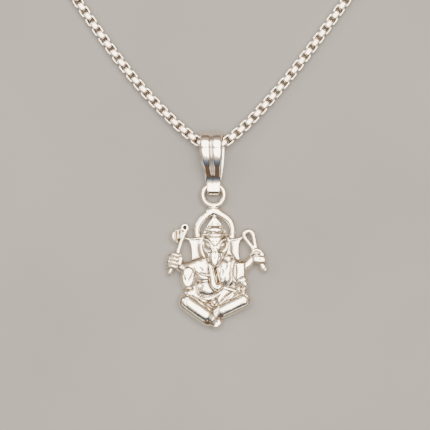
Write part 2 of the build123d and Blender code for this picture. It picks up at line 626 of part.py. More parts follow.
def teardrop():
    """The bail's side outline as rows of y, z and outward angle: two arcs and two legs.

    The front leg swells out above its middle and dips in below it, and the back leg is straight.
    """
    down = BAIL_TOP_Y - BAIL_FOOT_Y
    narrowing = BAIL_TOP_RADIUS - BAIL_FOOT_RADIUS
    front = math.pi / 2 + 2 * math.asin(narrowing / math.hypot(down, narrowing))
    back = -math.pi / 2
    rows = [(0, 0, angle) for angle in np.linspace(back, front, 15)]
    rows += [(share, BAIL_SWELL * math.sin(2 * math.pi * share), front) for share in np.linspace(0.1, 0.9, 9)]
    rows += [(1, 0, angle) for angle in np.linspace(front, 2 * math.pi + back, 9)]
    rows += [(share, 0, back) for share in (0.75, 0.5, 0.25)]
    share, swell, angle = np.array(rows).T
    radius = BAIL_TOP_RADIUS - share * narrowing
    y = BAIL_TOP_Y - share * down + (radius + swell) * np.cos(angle)
    z = radius + (radius + swell) * np.sin(angle)
    return y, z, angle


# Bail section: share of the half width, share of the rib height, 1 on the inner side
BAIL_SECTION = [(-1, 0, 0), (-0.87, 0.2, 0), (-0.72, 0.8, 0), (-0.52, 1, 0), (-0.32, 0.8, 0), (-0.14, 0.2, 0),
                (0, 0.5, 0), (0.14, 0.2, 0), (0.32, 0.8, 0), (0.52, 1, 0), (0.72, 0.8, 0), (0.87, 0.2, 0),
                (1, 0, 0), (1, 0, 1), (0, 0, 1), (-1, 0, 1)]


def make_bail():
    """The bail: its section carried round the teardrop, ribs full in front and flat behind."""
    y, z, angle = teardrop()
    up = np.clip((y - BAIL_FOOT_Y) / (BAIL_TOP_Y - BAIL_FOOT_Y), 0, 1)
    full = np.sin(math.pi / 2 * up ** BAIL_TAPER)
    half = (BAIL_FOOT_WIDTH + (BAIL_TOP_WIDTH - BAIL_FOOT_WIDTH) * full) / 2
    around = np.clip((angle + math.pi / 3) / (math.pi / 3), 0, 1)
    rib = BAIL_RIB * around * np.clip((y - BAIL_FOOT_Y) / BAIL_TOP_RADIUS, 0, 1)
    across, ridge, inner = np.array(BAIL_SECTION).T
    depth = rib[:, None] * ridge - BAIL_THICKNESS * inner
    shift = BAIL_TILT * up + BAIL_LEAN * (z - RING_Z) / (2 * BAIL_TOP_RADIUS)
    ring = np.stack([RING_X - shift[:, None] + half[:, None] * across,
                     y[:, None] + depth * np.cos(angle)[:, None],
                     z[:, None] + depth * np.sin(angle)[:, None]], axis=2)
    stations, sides = ring.shape[:2]
    here = np.arange(stations * sides).reshape(stations, sides)
    onward = np.roll(here, -1, axis=0)
    facets = np.stack([here, onward, np.roll(onward, -1, axis=1), np.roll(here, -1, axis=1)], axis=2)
    points = ring.reshape(-1, 3)
    return closed_solid(points, halved(points, facets.reshape(-1, 4)))


# Chain route: x and y from the seat in the bail, and the share of the seat's lift
LEFT_ROUTE = [(-4.1, 2.76, 0.35), (-10.1, 8.7, 0), (-16.7, 17.2, 0), (-27.4, 33.4, 0), (-41.6, 56.6, 0),
              (-54, 84, 0), (-58.5, 113, 0), (-53, 141, 0), (-37, 163.5, 0), (-18, 173, 0)]
RIGHT_ROUTE = [(4.1, 2.76, 0.35), (9.9, 9, 0), (16.7, 17.8, 0), (28.4, 34.4, 0), (43, 57.4, 0),
               (54.5, 85, 0), (58, 114, 0), (52, 142, 0), (36, 164, 0), (18, 173.2, 0)]
SEAT_DROP = 1.52
CLASP_REACH = 175.3
LEAD_IN = 10.5


def chain_points():
    """The chain's route from one end cap, round the neck and through the bail, to the other."""
    floor = CHAIN_WIDTH / 2
    seat = Vector(BAIL_TOP_X, BAIL_TOP_Y + CHAIN_PLAY - GAP - SEAT_DROP, 0)
    end = CLASP_RING / 2 + CAP_LENGTH - CAP_BORE_DEPTH + GAP
    clasp = Vector(0, seat.Y + CLASP_REACH, CAP_RADIUS)
    rise = SEAT_Z - floor
    left = [seat + Vector(x, y, floor + rise * lift) for x, y, lift in LEFT_ROUTE]
    right = [seat + Vector(x, y, floor + rise * lift) for x, y, lift in RIGHT_ROUTE]
    start = [clasp - Vector(end, 0, 0), clasp - Vector(LEAD_IN, 0, 0)]
    finish = [clasp + Vector(LEAD_IN, 0, 0), clasp + Vector(end, 0, 0)]
    return start + left[::-1] + [seat + Vector(0, 0, SEAT_Z)] + right + finish, clasp


def rounded(points):
    """Straight runs joined by tangent arcs as large as their runs allow."""
    radii = []
    for before, at, after in zip(points[:-2], points[1:-1], points[2:]):
        turn = math.radians((at - before).get_angle(after - at))
        shorter = min((at - before).length, (after - at).length)
        radii.append(0.45 * shorter / math.tan(turn / 2))
    print("chain radii", [round(r, 1) for r in radii])
    return FilletPolyline(*points, radius=radii)


def make_chain(points):
    """The chain as one round tube along its route."""
    path = rounded(points)
    print("chain length", round(path.length, 2))
    section = Plane(origin=path @ 0, z_dir=path % 0) * Circle(CHAIN_WIDTH / 2)
    tube = sweep(section, path=path)
    print("chain volume", round(tube.volume, 2))
    return tube


def make_clasp(middle):
    """A plain one-piece clasp: a wire ring and an end cap on each side, bored for the chain."""
    clasp = Torus((CLASP_RING - CLASP_WIRE) / 2, CLASP_WIRE / 2)
    for side in (-1, 1):
        along = Plane(origin=(side * (CLASP_RING / 2 - CLASP_WIRE / 2), 0, 0), z_dir=(side, 0, 0))
        length = CAP_LENGTH + CLASP_WIRE / 2
        clasp += along * Cylinder(CAP_RADIUS, length, align=(Align.CENTER, Align.CENTER, Align.MIN))
    for side in (-1, 1):
        mouth = Plane(origin=(side * (CLASP_RING / 2 + CAP_LENGTH), 0, 0), z_dir=(-side, 0, 0))
        radius = CHAIN_WIDTH / 2 + GAP
        clasp -= mouth * Cylinder(radius, CAP_BORE_DEPTH, align=(Align.CENTER, Align.CENTER, Align.MIN))
    return Pos(middle) * clasp


os.makedirs("parts", exist_ok=True)
route, clasp_middle = chain_points()
pieces = {
    "figure": make_figure(),
    "bail": make_bail(),
    "chain": make_chain(route),
    "clasp": make_clasp(clasp_middle),
}
for name, piece in pieces.items():
    export_step(piece, f"parts/{name}.step")
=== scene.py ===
# %% [markdown]
# # A cast silver pendant on a box chain
# The pendant is a small lost-wax casting of a seated figure with an elephant's head, hung by a
# folded bail on a fine box chain and laid flat on a table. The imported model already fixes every
# size and place, so this lesson only dresses it: a finer skin for the casting, a mirror-polished
# bail, real links for the chain, and silver that looks like silver.

import math
from itertools import product

import bmesh
import bpy
import numpy as np
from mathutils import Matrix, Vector


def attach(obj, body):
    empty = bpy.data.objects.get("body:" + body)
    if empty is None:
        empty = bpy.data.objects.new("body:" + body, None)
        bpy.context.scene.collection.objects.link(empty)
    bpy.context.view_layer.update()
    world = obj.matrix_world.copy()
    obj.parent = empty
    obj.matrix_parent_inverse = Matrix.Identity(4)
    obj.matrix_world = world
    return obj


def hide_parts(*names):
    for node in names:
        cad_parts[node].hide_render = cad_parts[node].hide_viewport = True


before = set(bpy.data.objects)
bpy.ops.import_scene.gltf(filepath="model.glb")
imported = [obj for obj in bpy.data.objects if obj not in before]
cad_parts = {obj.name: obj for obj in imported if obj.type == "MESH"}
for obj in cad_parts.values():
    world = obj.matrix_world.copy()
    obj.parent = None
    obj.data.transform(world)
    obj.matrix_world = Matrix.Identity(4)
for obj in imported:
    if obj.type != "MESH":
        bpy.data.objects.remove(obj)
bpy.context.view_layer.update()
MM = 0.001


def box_in_mm(low, high):
    """Two opposite corners of a box, in millimetres."""
    return np.round(np.array([low, high]) / MM, 2).tolist()


# %% [markdown]
# ## Units and sizes
# Blender works in metres. The casting is laid out on a grid of 100 steps across, 120 steps up and
# 24 steps deep, so a number in its tables is easy to read off a photograph: a step is 0.15 mm.

# %% Sizes that the pieces share
STEP = np.array([15.0 / 100, 18.0 / 120, 3.6 / 24]) * MM
RING_BORE = 2.35 * MM
RING_WIRE = 0.85 * MM
RING_RADIUS = (RING_BORE + RING_WIRE) / 2
RING_MIDDLE = np.array([-0.075, 10.945, 0.995]) * MM
CHAIN_WIDTH = 1.5 * MM
print("one step is", STEP / MM, "mm")

# %% [markdown]
# ## From arrays to a mesh
# Every new piece ends here: an array of points and an array of four-sided facets. A bail and a
# link are grids that close on themselves both ways, so their facets come from the grid's order.


# %% Helpers that make meshes
def put_mesh(name, points, facets, sharp=None):
    """A mesh object from arrays, smooth shaded, with edges above an angle kept sharp."""
    mesh = bpy.data.meshes.new(name)
    mesh.from_pydata(points, [], facets)
    mesh.validate()
    mesh.polygons.foreach_set("use_smooth", np.ones(len(mesh.polygons), bool))
    if sharp:
        mesh.set_sharp_from_angle(angle=math.radians(sharp))
    mesh.update()
    piece = bpy.data.objects.new(name, mesh)
    bpy.context.scene.collection.objects.link(piece)
    print(name, len(points), "points,", len(facets), "facets")
    return piece


def grid_facets(rows, columns):
    """Facets of a grid closed both ways: cell (i, j) joins rows i, i + 1 and columns j, j + 1."""
    here = np.arange(rows * columns).reshape(rows, columns)
    right = np.roll(here, -1, axis=0)
    up = np.roll(here, -1, axis=1)
    both = np.roll(right, -1, axis=1)
    return np.stack([here, right, both, up], axis=2).reshape(-1, 4)


def metal_volume(piece):
    """Cubic millimetres inside a closed mesh, as the sum of its facets' signed pyramids.

    It is above zero only where the facets face out.
    """
    net = bmesh.new()
    net.from_mesh(piece.data)
    space = net.calc_volume(signed=True)
    net.free()
    return round(space / MM ** 3, 1)


# %% [markdown]
# ## The casting
# In wax, an arm melts into a shoulder and cloth into a lap, so no grid surface follows it. The
# shape is a distance field instead: a block of numbers that says how far each place is from the
# metal. Forms are added with soft fillets, creases are pressed in, and the skin is drawn at the
# end where the number is zero.
#
# The block starts with every place far outside the metal. Its one method merges a form into it,
# only where the form reaches. Two distances merge as the lesser one, less a little where they are
# nearly equal, and that little is the fillet that a warm tool leaves in wax. A form is worked out
# up to 4 steps beyond its own box, and a place that none reaches stays 9 steps off.


# %% A block of distances
OUTSIDE = 9.0
REACH = 4.0
TINY = 1e-6
FAR = 1e9


class Block:
    """A solid form as signed distances on a grid, in steps: below zero is metal."""

    def __init__(self, low, high, cell):
        self.cell = cell
        self.low = np.array(low, float)
        counts = np.ceil((np.array(high) - self.low) / cell).astype(int) + 1
        self.axes = [self.low[i] + cell * np.arange(counts[i]) for i in range(3)]
        self.value = np.full(counts, OUTSIDE)

    def shape(self, low, high, distance, blend, cut=False):
        """Adds or cuts a form inside its own box, with a fillet as wide as blend."""
        reach = REACH + blend
        span = []
        for axis, a, b in zip(self.axes, low, high):
            span.append(slice(*np.searchsorted(axis, (a - reach, b + reach))))
        x = self.axes[0][span[0]][:, None, None]
        y = self.axes[1][span[1]][None, :, None]
        z = self.axes[2][span[2]][None, None, :]
        old = self.value[tuple(span)]
        sign = -1 if cut else 1
        new = sign * distance(x, y, z)
        fillet = np.maximum(blend - np.abs(old - new), 0) ** 2 / (4 * blend)
        merged = np.maximum(old, new) + fillet if cut else np.minimum(old, new) - fillet
        self.value[tuple(span)] = merged


# %% [markdown]
# Flesh is made of domes: a belly, a shoulder, the back of a hand. A sphere primitive would have to
# be cut in half and joined, while a dome in the block only needs its distance. If n says how many
# radii away a place is, and s how fast n grows there, that distance is close to n (n - 1) / s.


# %% Domes
class Domes(Block):
    """A block that also takes domes."""

    def ball(self, x0, y0, z0, rx, ry, rz, turn=0.0, blend=0.6, cut=False):
        """A dome of three radii, turned about Z, upright below z0; a cut is a whole ellipsoid."""
        c = math.cos(math.radians(turn))
        s = math.sin(math.radians(turn))
        reach = max(rx, ry)

        def distance(x, y, z):
            u = (c * (x - x0) + s * (y - y0)) / rx
            v = (c * (y - y0) - s * (x - x0)) / ry
            w = (z - z0) / rz if cut else np.maximum(z - z0, 0) / rz
            near = np.sqrt(u * u + v * v + w * w)
            slope = np.sqrt((u / rx) ** 2 + (v / ry) ** 2 + (w / rz) ** 2)
            return near * (near - 1) / np.maximum(slope, TINY)

        low = (x0 - reach, y0 - reach, z0 - rz if cut else 0)
        high = (x0 + reach, y0 + reach, z0 + rz)
        self.shape(low, high, distance, blend, cut)


# %% [markdown]
# Arms, legs, rims and cords are long forms, and a few points are enough to draw one. A smooth
# curve runs through them: between two points it is a cubic, which passes each point in the
# direction from the point before it to the point after it.


# %% A smooth curve through points
def smooth(rows, closed, steps):
    """Points on a smooth curve through the rows, each run divided into steps."""
    rows = np.array(rows, float)
    if len(rows) == 2:
        return rows
    if closed:
        rows = np.vstack([rows[-1:], rows, rows[:2]])
    else:
        rows = np.vstack([2 * rows[0] - rows[1], rows, 2 * rows[-1] - rows[-2]])
    share = (np.arange(steps) / steps)[:, None]
    curve = []
    for before, a, b, after in zip(rows[:-3], rows[1:-2], rows[2:-1], rows[3:]):
        bend = 2 * before - 5 * a + 4 * b - after
        twist = 3 * a - before - 3 * b + after
        curve.append(a + 0.5 * ((b - before) * share + bend * share ** 2 + twist * share ** 3))
    curve.append(rows[-2:-1])
    return np.vstack(curve)


# %% [markdown]
# A limb is a bar along such a curve. Its distance to one straight run is that to the nearest point
# of the run, less the radius there, and the least of all runs counts. A curve object with a bevel
# would give the same bar, but it wouldn't melt into its neighbours.


# %% Bars
class Bars(Domes):
    """A block that also takes bars."""

    def limb(self, rows, blend=0.6, flat=0.8, closed=False, steps=3, whole=False):
        """A half-round bar through rows of x, y, z, radius, upright below z; whole is a round bar.

        Its top is flat times as high as it is half wide.
        """
        points = smooth(rows, closed, steps)
        radius = points[:, 3].max()
        flat = 1 if whole else flat

        def above(height):
            return height / flat if whole else np.maximum(height, 0) / flat

        def distance(x, y, z):
            nearest = None
            for a, b in zip(points[:-1], points[1:]):
                run = (b - a)[:3]
                level = run[:2] @ run[:2]
                climb = run[2] / flat
                along = ((x - a[0]) * run[0] + (y - a[1]) * run[1]) / level
                up = above(z - a[2] - along * run[2])
                t = np.clip(along + up * climb / (level + climb * climb), 0, 1)
                dx = x - a[0] - t * run[0]
                dy = y - a[1] - t * run[1]
                dz = above(z - a[2] - t * run[2])
                off = np.sqrt(dx * dx + dy * dy + dz * dz) - (a[3] + t * (b[3] - a[3]))
                nearest = off if nearest is None else np.minimum(nearest, off)
            return nearest

        low = points[:, :3].min(axis=0) - radius
        high = points[:, :3].max(axis=0) + radius
        if not whole:
            low[2] = 0
        self.shape(low, high, distance, blend)


# %% [markdown]
# Cloth, palms and blades are flat forms with a drawn outline. The signed distance to the outline
# says how far a place is from its side, and a quarter ellipse rounds the side into the flat top.


# %% Plates
PLATE_CORE = 0.4


def side_of(corners, x, y):
    """Signed distance to a closed outline, below zero inside."""
    nearest = np.full(np.broadcast(x, y).shape, FAR)
    inside = np.zeros(nearest.shape, bool)
    for a, b in zip(corners, np.roll(corners, -1, axis=0)):
        run = b - a
        t = np.clip(((x - a[0]) * run[0] + (y - a[1]) * run[1]) / (run @ run), 0, 1)
        nearest = np.minimum(nearest, np.hypot(x - a[0] - t * run[0], y - a[1] - t * run[1]))
        if a[1] != b[1]:
            left = x < run[0] * (y - a[1]) / run[1] + a[0]
            inside ^= ((a[1] > y) != (b[1] > y)) & left
    return nearest * np.where(inside, -1, 1)


class Plates(Bars):
    """A block that also takes plates."""

    def plate(self, outline, bottom, top, edge, blend=0.6, steps=3):
        """A form of a drawn outline, upright to bottom, then rounded in over edge up to top."""
        corners = smooth(outline, True, steps)[:-1] if steps else np.array(outline, float)
        height = top - bottom

        def distance(x, y, z):
            side = side_of(corners, x[:, :, 0], y[:, :, 0])[:, :, None]
            u = np.maximum(side / edge + 1, 0)
            w = np.maximum((z - bottom) / height, 0)
            near = np.sqrt(u * u + w * w)
            slope = np.sqrt((u / edge) ** 2 + (w / height) ** 2)
            off = near * (near - 1) / np.maximum(slope, TINY)
            return np.where(near < PLATE_CORE, -PLATE_CORE * min(edge, height), off)

        low = (*corners.min(axis=0), 0)
        high = (*corners.max(axis=0), top)
        self.shape(low, high, distance, blend)


# %% [markdown]
# The engraver's lines come last. A groove isn't a form of its own: it pushes the surface in, or a
# ridge pushes it out, by a bell curve across the line, so it follows whatever lies below. At 2.2
# half widths the push has faded to a hundredth, and near the flat back it is held off.


# %% Creases
CREASE_REACH = 2.2
CREASE_FLOOR = 3.0


class Casting(Plates):
    """A block that also takes creases, which makes it fit for the whole figure."""

    def crease(self, rows, closed=False, steps=4):
        """A groove along the surface: rows of x, y, half width, depth; a depth below 0 is a ridge.

        The push is the depth times e to the minus square of the distance in half widths.
        """
        points = smooth(rows, closed, steps)
        reach = CREASE_REACH * points[:, 2].max()
        span = []
        for i in range(2):
            ends = (points[:, i].min() - reach, points[:, i].max() + reach)
            span.append(slice(*np.searchsorted(self.axes[i], ends)))
        x = self.axes[0][span[0]][:, None]
        y = self.axes[1][span[1]][None, :]
        nearest = np.full(np.broadcast(x, y).shape, FAR)
        push = np.zeros(nearest.shape)
        for a, b in zip(points[:-1], points[1:]):
            run = b - a
            t = np.clip(((x - a[0]) * run[0] + (y - a[1]) * run[1]) / (run[:2] @ run[:2]), 0, 1)
            away = np.hypot(x - a[0] - t * run[0], y - a[1] - t * run[1])
            here = (a[3] + t * run[3]) * np.exp(-(away / (a[2] + t * run[2])) ** 2)
            push = np.where(away < nearest, here, push)
            nearest = np.minimum(away, nearest)
        near_top = np.clip((self.axes[2] - CREASE_FLOOR) / CREASE_FLOOR, 0, 1)
        self.value[tuple(span)] += push[:, :, None] * near_top


# %% [markdown]
# ## The figure's forms
# The tables below are given in steps: x right of the middle, y up from the middle and z off the
# flat back. A limb's row is x, y, z, radius; a ball is x, y, z and three radii; a plate is a drawn
# outline with a bottom, a top and a rounded edge; a crease's row is x, y, half width, depth, and a
# negative depth raises a ridge.


# %% [markdown]
# A lost-wax casting starts as carved wax, with a slab behind everything so that the metal can run
# to each limb. That slab could be an extruded outline, but a plate with a rounded edge joins the
# other forms in one distance field, so no seam shows where they meet.

# %% The backing
def body_plate(metal):
    """The flat backing that joins torso, arms and lap."""
    outline = [(-22, 8), (-9, 12), (10, 12), (24, 7), (31, 4), (31.4, -10), (33, -22), (30, -33),
               (12, -44), (-2, -46), (-22, -36), (-30, -26), (-31.5, -14), (-31, -2)]
    metal.plate(outline, 6, 10.6, 3)
    metal.ball(-9, -4, 8, 15, 14, 5.4, blend=2)
    metal.ball(13, -4, 8, 15, 16, 5, blend=2)


# %% [markdown]
# Cloth spreads to both sides of the head and touches axe and noose, which holds these thin parts
# together. It is a flat plate with a raised hem, since the real one is polished nearly flat.

# %% The shawl
def shawl(metal):
    """Flat cloth that spreads to both sides of the head and touches axe and noose."""
    left = [(-28.8, 31), (-24.4, 29.4), (-20, 29.8), (-14, 31), (-9, 30), (-8, 6), (-22.3, 7),
            (-22.4, 12), (-22.7, 18), (-23.7, 23.6), (-25.6, 27.4), (-29.2, 28.8)]
    right = [(28.6, 32), (25.8, 30.2), (20, 29.2), (15, 28.6), (9, 28), (9, 4), (26.6, 5), (26, 9),
             (25.1, 14), (24.9, 19), (25.4, 24), (26.6, 27.4), (28.8, 29)]
    metal.plate(left, 8, 9.8, 1.2, blend=1, steps=0)
    metal.plate(right, 8, 9.8, 1.2, blend=1, steps=0)
    metal.crease([(-27, 29.8, 0.8, -0.4), (-21, 29.2, 0.9, -0.7), (-14.5, 30, 0.9, -0.7)])
    metal.crease([(27, 30.4, 0.8, -0.4), (21, 28.8, 0.9, -0.7), (16, 28.2, 0.9, -0.7)])


# %% [markdown]
# The halo is a pointed arch, a thick half-round bar. Two limbs rise from the shawl and meet at the
# top, where a short bar fills the fork as solder would.

# %% The halo arch
def halo(metal):
    """The pointed arch over the crown, a thick band open on both sides of the crown."""
    left = [(-15.8, 28, 6.6, 3.2), (-16.9, 35, 7, 3.3), (-16.6, 41, 7.2, 3.4),
            (-13.4, 47.2, 7.4, 3.5), (-8.2, 52.4, 7.4, 3.8), (-1.2, 56.9, 7.4, 4.2)]
    right = [(17.8, 28, 6.6, 3.1), (18.4, 35, 7, 3.2), (18.2, 40.5, 7.2, 3.3),
             (15.6, 46.8, 7.4, 3.5), (9.4, 52.2, 7.4, 3.8), (0.4, 56.9, 7.4, 4.2)]
    metal.limb(left, blend=0.8, flat=0.62, steps=4)
    metal.limb(right, blend=0.8, flat=0.62, steps=4)
    metal.limb([(-4, 57.4, 7, 3.4), (3.2, 57.4, 7, 3.4)], blend=2.5, flat=0.62)


def halo_lines(metal):
    """A light scribe line along the arch's inner edge."""
    metal.crease([(-13.4, 34, 0.5, 0.4), (-13, 40, 0.5, 0.5), (-9.4, 45.2, 0.5, 0.5),
                  (-4, 50.4, 0.5, 0.4)])
    metal.crease([(15.2, 34, 0.5, 0.4), (15, 40, 0.5, 0.5), (11.8, 45, 0.5, 0.5),
                  (5.6, 50.4, 0.5, 0.4)])


# %% [markdown]
# The ring is round wire, soldered on so that the bail can swing in it. Its size is set in
# millimetres and doesn't follow the figure's steps.

# %% The top ring
def top_ring(metal):
    """The soldered ring, at its own size whatever the figure's size."""
    turns = np.radians(np.arange(0, 360, 30))
    middle = RING_MIDDLE / STEP
    x = middle[0] + RING_RADIUS * np.cos(turns) / STEP[0]
    y = middle[1] + RING_RADIUS * np.sin(turns) / STEP[1]
    z = np.full(turns.shape, middle[2])
    wire = np.full(turns.shape, RING_WIRE / 2 / STEP[0])
    metal.limb(np.column_stack([x, y, z, wire]), blend=1, closed=True, whole=True)


# %% [markdown]
# The crown is a tall smooth cone in a thin rim, with a domed band across it and a rolled brim on
# the brow. A cone is a limb whose radius grows; the rolls are limbs laid across it.

# %% The crown
def crown(metal):
    """A tall crown: a thin rim round a smooth cone, a domed band and a brim roll on the brow."""
    metal.limb([(0.3, 56, 7, 1.5), (0.3, 49.5, 8, 2.2)], blend=1)
    back = [(-9, 31), (-11, 34.8), (-9, 39.2), (-5.2, 45.2), (-1.4, 50.6), (2, 50.6), (6.6, 45),
            (11, 38.8), (13.4, 34.6), (11, 31)]
    metal.plate(back, 9, 10.6, 1.2, steps=0)
    metal.limb([(0.5, 48, 9, 1.5), (0.7, 40.4, 9, 7.2)], blend=1, flat=0.5)
    metal.ball(0.8, 37.8, 9.6, 9.6, 4.4, 4.2, blend=0.8)
    metal.limb([(-11.2, 33.2, 9.6, 1.2), (-5, 33.2, 12.2, 1.3), (0.6, 33, 13, 1.3),
                (6, 33.2, 12.4, 1.3), (13, 33.8, 9.6, 1.2)], blend=1.2)


def crown_lines(metal):
    """The rim's inner edges, the domed band's edge, the line under the brim and the small dot."""
    metal.crease([(-8.6, 36.4, 0.5, 0.4), (-5.8, 40.8, 0.5, 0.5), (-2.4, 46, 0.5, 0.5),
                  (-0.4, 49.2, 0.4, 0.3)])
    metal.crease([(11, 36.6, 0.5, 0.4), (8.4, 40.6, 0.5, 0.5), (4.2, 46, 0.5, 0.5),
                  (1.4, 49.4, 0.4, 0.3)])
    metal.crease([(-5.8, 41.6, 0.8, 0.3), (0.6, 42.4, 0.8, 0.5), (8.6, 41.2, 0.8, 0.3)])
    metal.crease([(-9.6, 31.7, 0.45, 0.6), (-4.6, 31.6, 0.45, 0.8), (0.6, 31.4, 0.45, 0.8),
                  (6, 31.6, 0.45, 0.8), (11.6, 32, 0.45, 0.6)])
    metal.crease([(-0.9, 36.4, 0.6, 1), (0.1, 36.4, 0.6, 1)])


# %% [markdown]
# An elephant's head seen from the front: a broad skull, a flat forehead, slanting eyes under long
# brows, and ears folded back along the sides. Domes give the skull and thin limbs the brows, cheeks
# and ears, mirrored by one loop over both sides.

# %% The head
def head(metal):
    """The elephant's head: skull, ears, flat forehead, slanting brows and eyes, and cheeks."""
    metal.ball(1, 19.6, 8, 16.2, 15.4, 5.6, blend=2)
    metal.ball(1, 21.4, 8, 12.4, 13.6, 7.6, blend=2)
    forehead = [(-6.8, 31.4), (8.6, 31.6), (7, 27.4), (3.2, 23), (1.6, 21.6), (-0.2, 21.6),
                (-1.6, 23), (-5.4, 27.4)]
    metal.plate(forehead, 13, 16, 2.2, blend=1.6, steps=0)
    metal.limb([(0.9, 25, 12.6, 2.2), (1.1, 20, 13.4, 2.2), (1.2, 16.4, 13.6, 4.2)], blend=1.5)
    mid = 1.2
    for side in (-1, 1):
        metal.ball(mid + side * 6.9, 22.7, 13.6, 4.2, 2.1, 2.8, turn=side * 45, blend=0.5)
        metal.limb([(mid + side * 10.6, 28.8, 11.6, 1.2), (mid + side * 6.2, 27, 13.2, 1.2),
                    (mid + side * 3.1, 22.4, 14, 1.1)], blend=0.7)
        metal.limb([(mid + side * 12.6, 24.8, 10.6, 1.3), (mid + side * 11.6, 19.6, 11.4, 1.5),
                    (mid + side * 8.6, 16.4, 12.4, 1.5), (mid + side * 4.8, 15.8, 13, 1.2)],
                   blend=0.7)
        metal.limb([(mid + side * 12.6, 29.6, 8.6, 1.7), (mid + side * 14, 22, 9, 2.1),
                    (mid + side * 13, 15, 9, 2.1), (mid + side * 10.4, 9, 9, 1.9)], blend=2.5)


def head_lines(metal):
    """Lines beside the forehead, its two dots, eyelids, grooves under the eyes and ear edges."""
    for x in (-1.1, 2.9):
        metal.crease([(x - 0.3, 26.8, 0.45, 0.6), (x + 0.3, 26.6, 0.45, 0.6)])
    mid = 1.2
    for side in (-1, 1):
        metal.crease([(mid + side * 7.4, 29.8, 0.4, 0.4), (mid + side * 4.9, 26.4, 0.45, 0.7),
                      (mid + side * 2.2, 22.9, 0.4, 0.5)])
        metal.crease([(mid + side * 9.4, 19.2, 0.4, 0.3), (mid + side * 7, 18, 0.4, 0.5),
                      (mid + side * 4.4, 18.6, 0.4, 0.4)])
        metal.crease([(mid + side * 12.4, 29.4, 0.5, 0.4), (mid + side * 13.2, 22, 0.5, 0.5),
                      (mid + side * 11.6, 15.4, 0.5, 0.6), (mid + side * 9.4, 11, 0.5, 0.6)])


# %% [markdown]
# The upper trunk is cast as a shield inside a rim, and the lower trunk hangs over the belly and
# curls up at its tip. The shield is two stacked plates and the rest one tapering limb.

# %% The trunk
def trunk(metal):
    """A broad upper trunk like a shield in a rim, then a tube that hangs down and curls up."""
    rim = [(-7.4, 15.4), (-4, 16.8), (1.2, 17.2), (6.4, 16.8), (9.7, 15.2), (9.2, 10.6), (7.2, 6.2),
           (4.2, 2.4), (0.8, -0.2), (-0.4, -0.2), (-2, 1.8), (-5, 6), (-6.9, 10.6)]
    metal.plate(rim, 12.4, 15.4, 2.2, blend=1, steps=2)
    shield = [(-4.2, 14.8), (-1, 16.4), (3.4, 16.4), (6.6, 14.8), (6.4, 10.4), (4.6, 6), (2, 2.6),
              (0.4, 1.4), (-0.8, 2.6), (-3, 6.2), (-4.3, 10.4)]
    metal.plate(shield, 14.4, 17, 2, blend=0.7, steps=2)
    metal.limb([(1.2, 18, 13, 3.2), (1.1, 14, 14, 3.4)], blend=2)
    lower = [(-2.6, 7, 10.6, 2.4), (-3.6, 3, 11.8, 2.7), (-2.2, -3.6, 13, 3.4),
             (-1.4, -10.5, 14, 3.8), (-0.4, -16, 14.6, 3.9), (2.8, -19.2, 15, 3.7),
             (5.8, -18, 15, 3.2), (6.6, -15.6, 14.6, 2.5)]
    metal.limb(lower, blend=0.8, flat=0.85, steps=4)


def trunk_lines(metal):
    """Grooves inside the shield, the notch above it, and the dark hollow under its tip."""
    metal.crease([(-2.9, 13.6, 0.4, 0.4), (-3, 10.6, 0.45, 0.7), (-2.2, 7.4, 0.4, 0.4)])
    metal.crease([(5, 13.6, 0.45, 0.5), (4.9, 10.6, 0.55, 0.9), (3.6, 6.6, 0.45, 0.6)])
    metal.crease([(1.2, 17, 0.7, 1), (1.4, 16, 0.7, 1.2)])
    metal.crease([(1, 13.8, 0.35, 0.5), (0.8, 12.8, 0.35, 0.5)])
    metal.crease([(0.8, 10.6, 0.35, 0.5), (0.7, 9.6, 0.35, 0.5)])
    metal.crease([(0.9, -1, 1.4, 1.2), (1, -3, 1.6, 2), (0.9, -5.6, 1, 1.4), (0.9, -8.6, 0.5, 0.7)])
    metal.crease([(-0.8, -15.4, 0.45, 0.4), (1, -17.8, 0.45, 0.6), (4.4, -17.6, 0.45, 0.5)])


# %% [markdown]
# The chest carries a slanting fold and the belly is one round dome, with a band of cloth under it.
# Domes that melt into each other by a wide blend look like soft flesh in metal.

# %% The torso and the belly
def torso(metal):
    """Shoulders, chest fold, round belly and the band under it."""
    metal.ball(-14, 1.6, 8, 11, 8.6, 6, turn=14, blend=2)
    metal.ball(-9, -8.4, 8, 10, 8.6, 6.6, blend=2)
    metal.ball(-6.4, -20.8, 8, 11.6, 9.6, 6.1, turn=-8, blend=1.6)
    metal.crease([(-17.6, -3, 1.6, -0.5), (-13.6, -5.4, 1.5, -1), (-9.6, -6.6, 1.4, -1),
                  (-6, -7.2, 1.2, -0.5)])
    metal.limb([(-15.6, -28, 9.6, 1.8), (-10.8, -31.2, 11, 2.3), (-4, -31.8, 11.4, 2.3),
                (2, -29.4, 11, 2), (6, -25.6, 10, 1.5)], blend=1)


def torso_lines(metal):
    """Folds on the chest, the shoulder's seam and the band under the belly."""
    metal.limb([(-14.9, -27.4, 10.4, 1.7), (-11, -29.8, 12.2, 2.1), (-5.6, -30.4, 13, 2.2),
                (0, -28.6, 12.6, 2), (4.7, -25.6, 11.4, 1.5)], blend=0.6)
    metal.crease([(-16.8, -3.8, 0.6, 0.6), (-12.6, -6.8, 0.7, 1), (-6.8, -8.4, 0.6, 0.7)])
    metal.crease([(-14.2, 0.8, 0.6, 0.4), (-11, -1.8, 0.6, 0.6)])
    metal.crease([(-22, 7.9, 0.45, 0.5), (-16, 10, 0.45, 0.7), (-10.6, 11, 0.45, 0.6)])
    metal.crease([(-17, -18.4, 0.5, 0.5), (-13.4, -13.2, 0.5, 0.7), (-6.4, -11.4, 0.5, 0.7)])


# %% [markdown]
# Right of the trunk the cloth bulges in long folds, and more cloth lies over the lap. Grooves
# pressed after the domes turn them into pleats.

